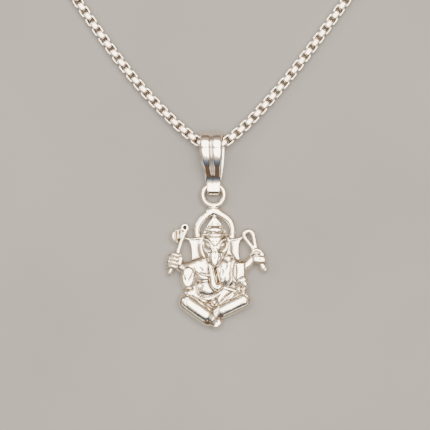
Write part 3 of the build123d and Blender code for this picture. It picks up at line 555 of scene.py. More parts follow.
# %% The cloth folds
def folds(metal):
    """Cloth that bulges right of the trunk, the ear lobes and the lap cloth."""
    metal.ball(11.4, -6, 8.4, 9, 13, 5.4, turn=2, blend=2)
    metal.ball(8.2, -7.4, 9, 5.8, 11, 5.6, turn=2, blend=1.2)
    metal.ball(14.6, -0.6, 9.6, 3.6, 8.6, 4.2, turn=-16, blend=1.6)
    metal.ball(14.2, 8.8, 10, 4.6, 5.4, 3.8, blend=1.5)
    metal.limb([(16, 15, 10, 1.2), (19.4, 9.8, 10, 1.4), (18.2, 4.4, 10.8, 1.4),
                (14.8, 0.6, 12.4, 1.4), (11.6, -2.8, 13, 1)], blend=1.2)
    metal.ball(-8.9, 7.2, 10.6, 2.1, 3.8, 2.8, turn=20, blend=1.2)
    lap = [(5, -20), (14, -19), (22, -22.4), (19, -30), (9, -38), (1, -33)]
    metal.plate(lap, 8, 12, 3, blend=1.6)
    metal.limb([(9.8, -19.4, 11, 1.5), (16, -21, 11.4, 1.6), (22, -23.4, 11, 1.4)], blend=1.2)


def folds_lines(metal):
    """Lines in the cloth right of the trunk, and beside the arm."""
    metal.crease([(8.2, -0.2, 0.45, 0.5), (9.5, -3.4, 0.55, 0.8), (8, -7.4, 0.45, 0.5)])
    metal.crease([(17.2, 4, 0.45, 0.5), (16.9, -4, 0.5, 0.7), (16.2, -12, 0.5, 0.7),
                  (12.4, -18.2, 0.5, 0.6)])
    for row in range(3):
        metal.crease([(5.6 + 2 * row, -34.6 + 1.5 * row, 0.8, 0.4),
                      (10.4 + 1.6 * row, -28.6 + 1.4 * row, 0.9, 0.8),
                      (16 + 1.2 * row, -25 + 0.9 * row, 0.8, 0.5)])


# %% [markdown]
# The legs are crossed, the left one in front. Each is a fat half-round limb, polished so bright
# that it mirrors the whole room; the foot is a small plate with toes engraved in it.

# %% The crossed legs
def legs(metal):
    """Crossed legs in smooth polished cloth, the left one in front, and its foot."""
    metal.limb([(29, -32, 8.4, 8.6), (8, -42.4, 8.2, 8), (1, -46, 7.4, 6.4)], flat=0.82, blend=1.2,
                steps=2)
    metal.limb([(-26.8, -33.8, 8.8, 8.8), (-8.4, -46.8, 9.4, 9), (2.6, -52.4, 8, 5.6)], flat=0.82,
                blend=1.2, steps=2)
    metal.ball(-8.4, -53.4, 6.6, 5.6, 4, 6.4, turn=-32, blend=2)
    foot = [(-2.4, -51.4), (2.4, -49.6), (6.8, -50.6), (9.3, -54.6), (7, -57.6), (3.8, -60.2),
            (-0.4, -60.6), (-2.8, -56.6)]
    metal.plate(foot, 7, 12.4, 2.6, blend=1.4, steps=1)
    metal.ball(-0.3, -33.5, 9.6, 4.3, 4.3, 5, blend=1)
    metal.limb([(-31.4, -27.6, 7.6, 2.4), (-27, -25, 9, 2.6), (-21, -24.6, 9.4, 2.4)], blend=1.6)
    metal.plate([(-26, -16), (-15, -16), (-13, -30), (-26, -30)], 8, 11.4, 2.6, blend=2)


def legs_lines(metal):
    """Belly's edge, knot, gap over the knee, hems, curves engraved on the knees, and toes."""
    metal.crease([(-14.4, -12.6, 0.7, 0.6), (-16.8, -15.8, 0.9, 1.1), (-17.2, -20, 1, 1.3),
                  (-16.2, -25, 0.9, 1.1), (-14.2, -28.4, 0.8, 0.7)])
    metal.ball(0.2, -34, 10.8, 3.9, 4.4, 5, blend=0.7)
    metal.crease([(-31.6, -21.4, 1.2, 1.6), (-26, -21.8, 1.3, 2), (-21.4, -21, 1.1, 1.2)])
    metal.crease([(-21.4, -27, 0.4, 0.5), (-11, -33.6, 0.4, 0.6), (-3, -40.4, 0.4, 0.5)])
    metal.crease([(21.8, -23.6, 0.4, 0.5), (14, -29.6, 0.4, 0.6), (6.6, -35.6, 0.4, 0.5)])
    metal.crease([(-25.6, -29.8, 0.4, 0.4), (-28.2, -32.4, 0.4, 0.5), (-27.4, -36, 0.4, 0.4)])
    metal.crease([(23.4, -29.2, 0.4, 0.5), (27.3, -29.2, 0.4, 0.5), (30.6, -33.4, 0.4, 0.5)])
    metal.crease([(30.8, -26.8, 0.5, 0.7), (35, -30.4, 0.5, 0.6)])
    metal.crease([(-3.4, -53.2, 0.45, 0.3), (0, -53.8, 0.45, 0.7), (4.6, -53.4, 0.45, 0.4)])


# %% [markdown]
# The front right hand is raised and open. The palm is an oval plate on a larger one that stands
# for the sleeve, and three short grooves are enough for its lines at this size.

# %% The open hand
def open_hand(metal):
    """The front right hand, an upright oval palm with a sleeve rim round its top and side."""
    metal.limb([(-9, 7.6, 8, 3.8), (-17.6, 4.2, 9, 5), (-26, 0.8, 8.6, 5), (-33.4, -0.6, 7.6, 3.8)],
                blend=2)
    sleeve = [(-33.2, -4), (-31.4, 1.8), (-25.4, 4), (-19.2, 1.6), (-16.8, -5), (-17.2, -14),
              (-21.4, -19.8), (-28, -20.8), (-32.8, -15)]
    metal.plate(sleeve, 9, 12.4, 2.6, blend=1)
    palm = [(-31.8, -5), (-29.6, 0), (-24.6, 1.8), (-20.2, -1), (-18.8, -8), (-20.2, -15.4),
            (-25.2, -20), (-30.4, -17.6), (-32.6, -11)]
    metal.plate(palm, 11.4, 14.4, 2.8, blend=0.8)


def open_hand_lines(metal):
    """Two lines in the palm and the seam round it."""
    metal.crease([(-29.8, -7.2, 0.6, 0.7), (-28.3, -11.2, 0.6, 0.8)])
    metal.crease([(-20.7, -3.4, 0.55, 0.6), (-23, -8, 0.6, 0.8), (-25.2, -12, 0.55, 0.5)])


# %% [markdown]
# The rear right arm ends in a fist. Its four fingers are four short limbs, placed by one loop, with
# a groove pressed between each two.

# %% The axe arm
def axe_arm(metal):
    """The rear right arm and its fist round the axe's handle, four fingers across."""
    metal.limb([(-24, 2.4, 8, 4.4), (-32, 1.4, 8, 4.2), (-37.6, 3.4, 8, 4.4)], blend=1.6)
    fist = [(-47.4, 5), (-46.4, 10.6), (-41.6, 16), (-36, 16.2), (-31.6, 10.4), (-30.8, 4),
            (-34, 0.6), (-40, -0.4), (-45.4, 1)]
    metal.plate(fist, 8, 12, 3.6, blend=1)
    for row in range(4):
        x = -38.4 - 0.9 * row
        y = 13.2 - 3.7 * row
        metal.limb([(x - 5.4, y - 0.2, 9.4, 1.9), (x - 1, y + 0.4, 11.8, 1.9),
                    (x + 3.4, y - 1, 11.8, 1.7)], blend=0.7)
    metal.limb([(-34.6, 14.2, 10, 1.7), (-32.9, 9, 11, 1.9), (-34, 4, 11, 1.7)], blend=1)


def axe_arm_lines(metal):
    """Gaps between the fingers."""
    for row in range(3):
        x = -38.8 - 0.9 * row
        y = 11.4 - 3.7 * row
        metal.crease([(x - 4.6, y - 0.2, 0.45, 0.6), (x - 1, y + 0.3, 0.45, 0.8),
                      (x + 3.2, y - 1, 0.45, 0.7)])


# %% [markdown]
# The axe has a handle with an eye at its top, a ribbed neck and a curved blade. The handle runs
# through the fist and comes out below it.

# %% The axe
def axe(metal):
    """The axe: handle with an eye at its top, ribbed neck and a curved blade."""
    metal.limb([(-27.6, 38.4, 8, 2.5), (-30.2, 32.4, 8.4, 2), (-33, 25, 8.8, 1.8),
                (-35.8, 16, 9.2, 2.2)])
    metal.limb([(-41.8, 1, 8, 2.9), (-44.6, -5, 7.6, 2.5)])
    turns = np.radians(np.arange(0, 360, 45))
    x = -29 + 2.5 * np.cos(turns)
    y = 40.6 + 2.5 * np.sin(turns)
    metal.limb(np.column_stack([x, y, np.full(8, 8.4), np.full(8, 1.7)]), closed=True)
    neck = [(-37.4, 38.6), (-33.4, 39.4), (-29.6, 38), (-30.6, 33), (-33.6, 29.4), (-37.6, 29)]
    metal.plate(neck, 7, 9, 1.6, blend=1)
    metal.limb([(-35.4, 37.8, 8.8, 1.1), (-35.8, 30.2, 8.8, 1.1)], flat=1, blend=0.5)
    metal.limb([(-32.8, 38.4, 8.8, 1), (-33.2, 31, 8.8, 1)], flat=1, blend=0.5)
    blade = [(-36.6, 38.8), (-39.4, 38.6), (-42.4, 36), (-43.4, 32), (-42.6, 28.4), (-40, 26.2),
             (-37, 25.2), (-35.6, 26.6), (-37, 29), (-37.4, 34)]
    metal.plate(blade, 7, 11.8, 3.2, blend=0.7)


def axe_lines(metal):
    """The eye cut wide open, the blade's flat face and rounded end, and a hollow in the neck."""
    metal.ball(-29.1, 40.4, 8, 1.6, 1.8, 16, turn=20, cut=True)
    metal.ball(-37.4, 26.6, 8.6, 2.1, 1.9, 2.6, blend=0.8)
    face = [(-37.6, 38), (-39.4, 37.7), (-41.8, 35.3), (-42.7, 32), (-41.9, 28.9), (-39.8, 26.8),
            (-37.8, 26.2), (-38, 29.4), (-38.1, 34)]
    metal.plate(face, 9.8, 12.4, 1.8, blend=0.5)
    metal.crease([(-34, 37.8, 0.9, 0.8), (-33.8, 34.8, 0.9, 1)])


# %% [markdown]
# The rear left arm holds the noose. Two fingers and one broad band cross the handle, so the band is
# a plate with a soft edge and the fingers are limbs.

# %% The noose arm
def noose_arm(metal):
    """The rear left arm and its fist, two fingers and a broad band across the noose's handle."""
    metal.limb([(14, 7, 8, 4.6), (25, 3, 8, 5.2), (32.6, 3, 8, 5.2), (37.4, 8.4, 8, 4.6)], blend=2)
    fist = [(36.4, 12), (38.8, 17.6), (44, 20), (49.6, 17), (52.4, 11), (51.8, 6), (46, 4.8),
            (39.4, 6)]
    metal.plate(fist, 8, 11.6, 3.4, blend=1)
    metal.limb([(37.4, 13.4, 10, 1.8), (41.4, 15.4, 11.4, 1.8), (45, 15, 11, 1.6)], blend=0.8)
    metal.limb([(38.4, 17.4, 9.4, 1.5), (42, 18.6, 10.4, 1.5), (46, 17.6, 10, 1.4)], blend=0.8)
    band = [(38.6, 11.4), (38.8, 6.4), (44, 4.8), (51.2, 5.4), (52, 9), (50.2, 12), (46, 12.6),
            (41, 12.8)]
    metal.plate(band, 10.6, 13.6, 2.4, blend=0.6)


def noose_arm_lines(metal):
    """The gaps beside the fingers, and a dimple in the band."""
    metal.crease([(38.6, 15.8, 0.45, 0.6), (42.6, 17, 0.45, 0.8), (46.4, 16, 0.45, 0.6)])
    metal.crease([(45, 8.6, 0.5, 0.4), (46.2, 8.4, 0.5, 0.4)])


# %% [markdown]
# The noose is a loop of cord whose ends cross at the hand. One limb follows it round, and the
# opening stays open through the whole casting.

# %% The noose
def noose(metal):
    """The noose, a loop of cord whose two ends cross at the hand, and its handle end."""
    loop = [(39.2, 19.4, 9, 2), (34.6, 25.4, 8.6, 2), (30.8, 30.4, 8.4, 2.1),
            (30.2, 34.6, 8.4, 2.3), (34.2, 37.2, 8.4, 2.4), (38.4, 35, 8.4, 2.4),
            (40, 29.4, 8.6, 2.3), (41.2, 22.6, 8.8, 2.2), (41.8, 17, 9, 2.2)]
    metal.limb(loop, steps=4)
    metal.limb([(38.6, 21, 9, 1.9), (39.4, 15, 9.4, 2.4)])
    metal.limb([(46.6, 5.4, 8, 3), (49.4, 0.8, 8, 3.5), (50.3, -0.6, 7.8, 3.5)])
    metal.ball(51, -1, 11.4, 1, 1.4, 1.4, turn=30, cut=True)


# %% [markdown]
# The front left arm is a polished sleeve with a hollow side, and its hand rests on the knee under a
# rolled cuff. Plates give the sleeve its flat mirror and a dome the back of the hand.

# %% The arm on the knee
def knee_arm(metal):
    """The front left arm: a polished sleeve with a groove along it, and a hand on the knee."""
    arm = [(17.2, 3), (20.4, 6.4), (28, 7.4), (32.6, 3.6), (32.8, -9), (31, -14), (24, -16),
           (19, -12.4), (17, -5)]
    metal.plate(arm, 8, 12.2, 2.8, blend=1.6)
    sleeve = [(18.4, 3), (21, 5.8), (30, 6), (31.2, 3), (31, -9.6), (27.6, -9.4), (24.2, -12.8),
              (21.4, -12), (18.6, -9)]
    metal.plate(sleeve, 11, 14.2, 2.4, blend=0.8, steps=2)
    metal.crease([(21.8, 3.4, 1, 0.4), (21.9, -2, 1.1, 1.1), (21.6, -8.4, 1, 1)])
    hand = [(21.6, -18.4), (23, -13), (28.4, -10.2), (33.2, -12.6), (34, -17.4), (31.4, -21.8),
            (25.6, -22.4)]
    metal.plate(hand, 8, 12.6, 2.8, blend=1)
    metal.limb([(25, -20.8, 11.2, 1.6), (27, -16.6, 12.6, 1.8), (29.8, -14.8, 12.8, 2),
                (32, -17, 12, 1.6)], blend=0.9)


def knee_arm_lines(metal):
    """The hollow side of the sleeve, the back of the hand with its cuff and a fingertip."""
    metal.crease([(20.2, 2.6, 1.2, 0.7), (19.8, -3, 1.6, 1.1), (20.2, -8.4, 1.4, 1),
                  (22.4, -12.4, 1, 0.7)])
    metal.ball(30.6, -15.6, 11.8, 3.8, 5, 3.6, turn=28, blend=1.2)
    metal.limb([(23.2, -18, 11, 1.4), (24.4, -14.2, 12.6, 1.5), (27.4, -11.6, 13.4, 1.5),
                (30.8, -11.2, 13, 1.4), (33.8, -14.4, 11, 1.2)], blend=1, flat=0.6)
    metal.ball(24.6, -21.4, 11.2, 2.6, 2.2, 2.4, blend=1)
    metal.crease([(27.8, -16.4, 0.8, 0.6), (26.8, -19.4, 0.9, 0.8)])
    metal.crease([(28.6, -13.4, 0.6, 0.6), (29.2, -14.2, 0.6, 0.6)])
    metal.crease([(31.2, 2.6, 0.45, 0.5), (31.2, -3, 0.45, 0.5), (31, -8.6, 0.45, 0.5)])


# %% [markdown]
# The forms go into the block in this order, as wax would be built up: what comes later lies on
# what came before, and a form's lines are cut as soon as the form is there.

# %% All forms in order
FORMS = [body_plate, shawl, halo, halo_lines, top_ring, crown, crown_lines, head, head_lines,
         trunk, trunk_lines, torso, torso_lines, folds, folds_lines, legs, legs_lines, open_hand,
         open_hand_lines, axe_arm, axe_arm_lines, axe, axe_lines, noose_arm, noose_arm_lines,
         noose, knee_arm, knee_arm_lines]
print(len(FORMS), "groups of forms")


# %% [markdown]
# ## The skin of the casting
# The skin could be drawn by cutting each cell into triangles, but those come out as slivers. A
# surface net is evener: it puts one point in every cell that the metal's edge crosses, and joins
# neighbouring cells with four-sided facets. It closes without a hole only where metal never meets
# metal across a bare diagonal, so such pinches are filled first.


# %% Fill the pinches
CORNERS = list(product((0, 1), repeat=3))
EDGE_FILL = 0.05


def at_corner(grid, corner):
    """The grid as each cell sees it at one of its eight corners."""
    return grid[tuple(slice(c, n - 1 + c) for c, n in zip(corner, grid.shape))]


def fill_pinches(value):
    """Fills corners where metal meets metal only across a diagonal, so that the skin is closed."""
    found = True
    while found:
        inside = value < 0
        fill = np.zeros_like(inside)
        for axis in range(3):
            metal = np.moveaxis(inside, axis, 2)
            add = np.moveaxis(fill, axis, 2)
            a, b, c, d = metal[:-1, :-1], metal[1:, :-1], metal[:-1, 1:], metal[1:, 1:]
            add[1:, :-1] |= a & d & ~b & ~c
            add[:-1, 1:] |= a & d & ~b & ~c
            add[:-1, :-1] |= b & c & ~a & ~d
            add[1:, 1:] |= b & c & ~a & ~d
        total = sum(at_corner(inside, c).astype(int) for c in CORNERS)
        for c in CORNERS[:4]:
            opposite = tuple(1 - v for v in c)
            both = at_corner(inside, c) & at_corner(inside, opposite)
            neither = ~at_corner(inside, c) & ~at_corner(inside, opposite)
            pinch = ((total == 2) & both) | ((total == 6) & neither)
            for e in CORNERS:
                at_corner(fill, e)[pinch] = True
        fill &= ~inside
        value[fill] = -EDGE_FILL
        found = fill.any()


# %% [markdown]
# Along an edge of a cell the distance goes from a to b, so it is zero at a / (a - b) of the way.
# The cell's point is the mean of these crossings. The pendant's back is ground flat, so the lowest
# layer of cells is pressed onto the table: a point there stands straight under the crossings of
# its cell's level edges.


# %% One point in each crossed cell
def skin_points(metal):
    """The skin's points, and the number of each cell's point, or -1 in a cell not crossed."""
    value = metal.value
    total = sum(at_corner(value < 0, c).astype(int) for c in CORNERS)
    crossed = (total > 0) & (total < len(CORNERS))
    cells = np.argwhere(crossed)
    number = np.full(crossed.shape, -1)
    number[crossed] = np.arange(len(cells))
    place = np.zeros((2, len(cells), 3))
    count = np.zeros((2, len(cells), 1))
    for axis in range(3):
        for c in CORNERS:
            if c[axis]:
                continue
            end = tuple(1 if i == axis else v for i, v in enumerate(c))
            a = at_corner(value, c)[crossed]
            b = at_corner(value, end)[crossed]
            hit = (a < 0) != (b < 0)
            at = np.tile(np.array(c, float), (len(cells), 1))
            at[:, axis] = np.where(hit, a / np.where(hit, a - b, 1), 0)
            level = int(axis < 2 and c[2] == 1)
            for kind in {0, level}:
                place[kind] += at * hit[:, None]
                count[kind] += hit[:, None]
    local = place[0] / count[0]
    low = cells[:, 2] == 0
    rim = low & (count[1][:, 0] > 0)
    local[rim, :2] = (place[1][rim] / count[1][rim])[:, :2]
    points = metal.low + metal.cell * (cells + local)
    points[low, 2] = 0
    return points, number


# %% [markdown]
# Every edge of the grid that the skin crosses gets one facet, whose corners are the points of the
# four cells round that edge. Its order is turned round where the metal lies at the edge's far end,
# so that all facets face out. The facets of the flat back are set apart, because one flat face
# takes their place.


# %% Four-sided facets
def skin_facets(inside, number):
    """Facets round each crossed edge of the grid: those of the sides, and those of the back."""
    sides = []
    back = []
    for axis in range(3):
        u = (axis + 1) % 3
        v = (axis + 2) % 3
        step = np.moveaxis(inside, axis, 0)
        edge = np.argwhere(np.moveaxis(step[:-1] != step[1:], 0, axis))
        ring = []
        for du, dv in ((-1, -1), (0, -1), (0, 0), (-1, 0)):
            at = edge.copy()
            at[:, u] += du
            at[:, v] += dv
            ring.append(number[tuple(at.T)])
        facet = np.stack(ring, axis=1)
        outward = inside[tuple(edge.T)]
        facet[~outward] = facet[~outward, ::-1]
        flat = (axis == 2) & (edge[:, 2] == 0)
        sides.append(facet[~flat])
        back.append(facet[flat])
    return np.concatenate(sides), np.concatenate(back)


def outer_skin(size, facets):
    """Which points are on the largest closed skin, as against bubbles left inside the metal.

    Each point takes the lowest number among its facets' points, until no number changes.
    """
    label = np.arange(size)
    changed = True
    while changed:
        before = label.copy()
        lowest = label[facets].min(axis=1)
        np.minimum.at(label, facets, lowest[:, None])
        label = label[label]
        changed = (label != before).any()
    return label == np.bincount(label).argmax()


# %% [markdown]
# ## Patina and painted shade in the recesses
# Silver like this is dipped in liver of sulphur and then polished, so the tarnish stays only where
# the buffing wheel can't reach. A smoothed copy of the skin shows those places: wherever the skin
# lies below its own smoothed copy, it is a recess. The same measure also paints shade into the
# recesses, most of all as a tan over the broad hollows.


# %% Measure the recesses
def both_ways(facets):
    """Every edge of the facets, listed from each of its two ends."""
    around = np.stack([facets, np.roll(facets, -1, axis=1)], axis=2).reshape(-1, 2)
    return np.concatenate([around, around[:, ::-1]])


def neighbour_mean(values, edges, counts):
    """The mean of each point's neighbours: the sum over its edges divided by their number."""
    sums = [np.bincount(edges[:, 0], values[edges[:, 1], i], len(values)) for i in range(3)]
    return np.stack(sums, axis=1) / counts[:, None]


def recess_depth(points, facets, normals, rounds):
    """How far each point lies below the skin's smoothed copy, along its normal."""
    edges = both_ways(facets)
    counts = np.bincount(edges[:, 0], minlength=len(points))
    smoothed = points.copy()
    for _ in range(rounds):
        smoothed = neighbour_mean(smoothed, edges, counts)
    return ((smoothed - points) * normals).sum(axis=1)


# %% [markdown]
# ## The figure
# A cell of half a step, 0.08 mm, keeps the engraved lines and stays under 200,000 triangles. The
# open rim of the flat back is closed with one net of triangles, which lies on the table unseen.


# %% Close the flat back
def close_back(piece):
    """The open edge of the flat back is filled with one flat net of triangles."""
    net = bmesh.new()
    net.from_mesh(piece.data)
    rim = [edge for edge in net.edges if edge.is_boundary]
    bmesh.ops.triangle_fill(net, edges=rim, normal=(0, 0, -1))
    open_edges = sum(not edge.is_manifold for edge in net.edges)
    net.to_mesh(piece.data)
    net.free()
    print("open edges after the back is closed:", open_edges)


# %% [markdown]
# Two smoothed copies measure the recesses. Ten rounds of smoothing find the narrow lines and count
# for most, and their brown-grey is patina deepened by painted shade; sixty find the broad hollows,
# whose tan is painted shade. A recess of half a step and more counts as full.

# %% Build the figure
FIGURE_CELL = 0.52
BLOCK_LOW = (-52, -68, -FIGURE_CELL / 2)
BLOCK_HIGH = (60, 96, 26)
RECESS_FULL = 0.55 * STEP[2]
RECESS_ROUNDS_WEIGHTS = ((10, 1.6), (60, 0.25))


def make_figure():
    """The casting's skin from its distance field, with the recess depth kept on each point."""
    metal = Casting(BLOCK_LOW, BLOCK_HIGH, FIGURE_CELL)
    for form in FORMS:
        form(metal)
    metal.value[:, :, 0] = FIGURE_CELL
    fill_pinches(metal.value)
    metal.value[:, :, 0] = FIGURE_CELL
    points, number = skin_points(metal)
    sides, back = skin_facets(metal.value < 0, number)
    body = outer_skin(len(points), np.concatenate([sides, back]))
    sides = sides[body[sides[:, 0]]]
    used, facets = np.unique(sides, return_inverse=True)
    facets = facets.reshape(sides.shape)
    points = points[used] * STEP
    piece = put_mesh("figure_casting", points, facets)
    normals = np.zeros(points.size)
    piece.data.vertices.foreach_get("normal", normals)
    normals = normals.reshape(-1, 3)
    depth = sum(weight * recess_depth(points, facets, normals, rounds)
                for rounds, weight in RECESS_ROUNDS_WEIGHTS)
    close_back(piece)
    added = len(piece.data.vertices) - len(points)
    # The recess depth colours the metal: patina and painted shade in the lines, painted shade in
    # hollows
    patina_and_painted_shade = np.pad(np.clip(depth / RECESS_FULL, 0, 1), (0, added))
    piece.data.attributes.new("patina_and_painted_shade", "FLOAT", "POINT").data.foreach_set("value", patina_and_painted_shade)
    return piece


figure = make_figure()
print("dressed figure", box_in_mm(figure.bound_box[0], figure.bound_box[6]))
print("figure metal", metal_volume(figure), "cubic mm")

# %% [markdown]
# ## The bail
# The bail is a tapered strip with two broad ribs and a narrow ridge between them, folded into a
# teardrop that holds the chain above and the ring below. Its side view is two arcs joined by two
# straight legs, and the strip's section is carried round that outline, so one grid makes it all.

# %% The bail's sizes and its side outline
BAIL_THICKNESS = 0.3 * MM
BAIL_TOP_WIDTH = 3.4 * MM
BAIL_FOOT_WIDTH = 1.95 * MM
BAIL_TOP_RADIUS = 1.8 * MM
BAIL_FOOT_RADIUS = 0.925 * MM
BAIL_TOP_Y = 18.39 * MM
BAIL_FOOT_Y = 11.745 * MM
BAIL_SWELL = 0.24 * MM
SWELL_EASE = 6


def teardrop(arc, leg):
    """Rows of y, z and outward angle round the outline: an arc, a leg, a smaller arc and a leg.

    The front leg swells and then dips by one sine wave, and the angle turns by that wave's slope.
    """
    flare = BAIL_TOP_RADIUS - BAIL_FOOT_RADIUS
    spread = math.hypot(BAIL_TOP_Y - BAIL_FOOT_Y, flare)
    front = math.pi / 2 + 2 * math.asin(flare / spread)
    share = np.linspace(0, 1, leg + 2)[1:-1]
    angle = np.concatenate([np.linspace(-math.pi / 2, front, arc), np.full(leg, front),
                            np.linspace(front, 1.5 * math.pi, arc), np.full(leg, -math.pi / 2)])
    foot = np.concatenate([np.zeros(arc), share, np.ones(arc), 1 - share])
    height = BAIL_TOP_RADIUS - foot * flare
    radius = height.copy()
    wave = 2 * math.pi * share
    radius[arc:arc + leg] += BAIL_SWELL * np.sin(wave)
    y = BAIL_TOP_Y + foot * (BAIL_FOOT_Y - BAIL_TOP_Y) + radius * np.cos(angle)
    z = height + radius * np.sin(angle)
    ease = np.minimum(1, SWELL_EASE * np.minimum(share, 1 - share))
    angle[arc:arc + leg] -= ease * np.arctan(2 * math.pi * BAIL_SWELL / spread * np.cos(wave))
    return y, z, angle


# %% [markdown]
# The section is one line across the strip. Each rib is half of a superellipse, which has a broad
# flat top and steep sides, as if pressed by a roller, and the ridge between them is a small bell
# curve. The inner side is flat.


# %% The strip's section
RIB_HEIGHT = 0.25 * MM
RIB_MIDDLE, RIB_HALF, RIB_POWER = 0.52, 0.42, 5
RIDGE_HEIGHT, RIDGE_HALF = 0.45, 0.1


def strip_section(count):
    """Shares across the outer side, and the heights of ribs and ridge as shares of a rib's.

    A rib is the square root of one less the fifth power of the share from its middle to its side.
    """
    across = np.sin(np.linspace(-math.pi / 2, math.pi / 2, count))
    from_middle = np.abs(np.abs(across) - RIB_MIDDLE) / RIB_HALF
    rib = np.sqrt(np.clip(1 - from_middle ** RIB_POWER, 0, None))
    ridge = RIDGE_HEIGHT * np.exp(-(across / RIDGE_HALF) ** 2)
    return across, rib, ridge


# %% [markdown]
# The ribs start at the top of the fold and die out towards the foot, where the lip is plain; the
# ridge runs on a little further. The strip leans a little to one side, as bent strip does, and its
# lip is filed narrower at the turn.


# %% Carry the section round
BAIL_TILT = 0.2 * MM
BAIL_LEAN = 0.25 * MM
LEAN_START, LEAN_LENGTH = 0.2, 0.4
BAIL_TAPER = 1.2
EDGE_DROP, EDGE_POWER = 0.06 * MM, 12
LIP_ROUNDING = 0.16
RIB_START, RIB_FADE = 1.3 * MM, 2.4 * MM
RIDGE_START, RIDGE_FADE = 0.4 * MM, 3.4 * MM


def portion(value, start, length):
    """How far a value has come along a length from its start, held between 0 and 1."""
    return np.clip((value - start) / length, 0, 1)


def fade_in(height, start, length):
    """A smooth step from 0 to 1 over a length: three times the square less twice the cube."""
    share = portion(height, start, length)
    return share ** 2 * (3 - 2 * share)


def make_bail(arc=56, leg=40, count=81):
    """The strip's section at each row of the outline, its ribs full in front and flat behind."""
    y, z, angle = teardrop(arc, leg)
    up = portion(y, BAIL_FOOT_Y, BAIL_TOP_Y - BAIL_FOOT_Y)
    full = np.sin(math.pi / 2 * up ** BAIL_TAPER)
    half = (BAIL_FOOT_WIDTH + (BAIL_TOP_WIDTH - BAIL_FOOT_WIDTH) * full) / 2
    half *= 1 - LIP_ROUNDING * portion(-y, -BAIL_FOOT_Y, BAIL_FOOT_RADIUS) ** 2
    around = portion(angle, -math.pi / 3, math.pi / 3)
    rib_share = around * fade_in(y - BAIL_FOOT_Y, RIB_START, RIB_FADE)
    ridge_share = around * fade_in(y - BAIL_FOOT_Y, RIDGE_START, RIDGE_FADE)
    across, rib, ridge = strip_section(count)
    relief = rib_share[:, None] * rib + ridge_share[:, None] * ridge
    outer = RIB_HEIGHT * relief - EDGE_DROP * np.abs(across) ** EDGE_POWER
    across = np.concatenate([across, across[::-1]])
    depth = np.concatenate([outer, np.full_like(outer, -BAIL_THICKNESS)], axis=1)
    lean = BAIL_LEAN * portion(up, LEAN_START, LEAN_LENGTH)
    shift = BAIL_TILT * up + lean * (z - RING_MIDDLE[2]) / (2 * BAIL_TOP_RADIUS)
    x = RING_MIDDLE[0] - shift[:, None] + half[:, None] * across
    points = np.stack([x, y[:, None] + depth * np.cos(angle)[:, None],
                       z[:, None] + depth * np.sin(angle)[:, None]], axis=2)
    return put_mesh("bail_strip", points.reshape(-1, 3), grid_facets(*points.shape[:2]), sharp=50)


bail = make_bail()
print("dressed bail", box_in_mm(bail.bound_box[0], bail.bound_box[6]))
print("bail metal", metal_volume(bail), "cubic mm")

# %% [markdown]
# ## The box chain
# Each link is a short band of flat silver strip bent into a square ring, and each is turned a
# quarter from the one before, so that its end bars pass through both neighbours. The route is the
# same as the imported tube's: its points are the control points of one smooth spline.

# %% The route through the bail and round the neck
SEAT = np.array([-0.275, 17.52, 0.0]) * MM
CLASP = np.array([0.0, 192.82, 1.15]) * MM
FLOOR_Z = 0.75 * MM
SEAT_Z = 1.6 * MM
LEAD_IN = 10.5 * MM
CAP_END = 4.1 * MM
LEFT_ROUTE = [(-4.1, 2.76, 0.35), (-10.1, 8.7, 0), (-16.7, 17.2, 0), (-27.4, 33.4, 0),
              (-41.6, 56.6, 0), (-54, 84, 0), (-58.5, 113, 0), (-53, 141, 0), (-37, 163.5, 0),
              (-18, 173, 0)]
RIGHT_ROUTE = [(4.1, 2.76, 0.35), (9.9, 9, 0), (16.7, 17.8, 0), (28.4, 34.4, 0), (43, 57.4, 0),
               (54.5, 85, 0), (58, 114, 0), (52, 142, 0), (36, 164, 0), (18, 173.2, 0)]


def route_points(rows):
    """Route rows of x and y from the seat and share of the seat's lift, as points in metres."""
    rows = np.array(rows)
    lift = FLOOR_Z + (SEAT_Z - FLOOR_Z) * rows[:, 2]
    return np.column_stack([rows[:, :2] * MM + SEAT[:2], lift])


def smooth_line(points, resolution):
    """Points along the order 3 spline that has the given control points."""
    curve = bpy.data.curves.new("route", "CURVE")
    curve.dimensions = "3D"
    spline = curve.splines.new("NURBS")
    spline.points.add(len(points) - 1)
    spline.points.foreach_set("co", np.column_stack([points, np.ones(len(points))]).ravel())
    spline.order_u = 3
    spline.use_endpoint_u = True
    spline.resolution_u = resolution
    holder = bpy.data.objects.new("route", curve)
    mesh = bpy.data.meshes.new_from_object(holder)
    line = np.zeros(3 * len(mesh.vertices))
    mesh.vertices.foreach_get("co", line)
    bpy.data.objects.remove(holder)
    return line.reshape(-1, 3)


left = route_points(LEFT_ROUTE)
right = route_points(RIGHT_ROUTE)
side = np.array([1.0, 0, 0])
route = np.vstack([CLASP - CAP_END * side, CLASP - LEAD_IN * side, left[::-1],
                   SEAT + [0, 0, SEAT_Z], right, CLASP + LEAD_IN * side, CLASP + CAP_END * side])
line = smooth_line(route, resolution=48)
travelled = np.concatenate([[0], np.cumsum(np.linalg.norm(np.diff(line, axis=0), axis=1))])
chain_length = travelled[-1]
print("chain length", round(chain_length / MM, 1), "mm")

# %% [markdown]
# A link's strip follows a rounded square and has a rounded flat section, both superellipses: a low
# power keeps the sides flat and the corners tight. The rounding along the strip's edges is what
# draws each rail as a fine line of light.

# %% One link
LINK_PITCH = 0.857 * MM
LINK_LENGTH = 1.43 * MM
STRIP_WIDTH = 0.95 * MM
STRIP_THICK = 0.26 * MM
CORNER_POWER = 0.37
SECTION_POWER = (0.25, 0.5)
# How far from a corner the painted highlight on a link reaches
CORNER_PAINTED_HIGHLIGHT = 0.71


def rounded(turn, powers):
    """A superellipse: each turn's cosine and sine, raised to their powers with the sign kept."""
    pair = np.stack([np.cos(turn), np.sin(turn)])
    return np.sign(pair) * np.abs(pair) ** np.reshape(powers, (2, 1))


def even_turns(count):
    """Angles round a full turn, half a step off its start."""
    return (np.arange(count) + 0.5) * 2 * math.pi / count


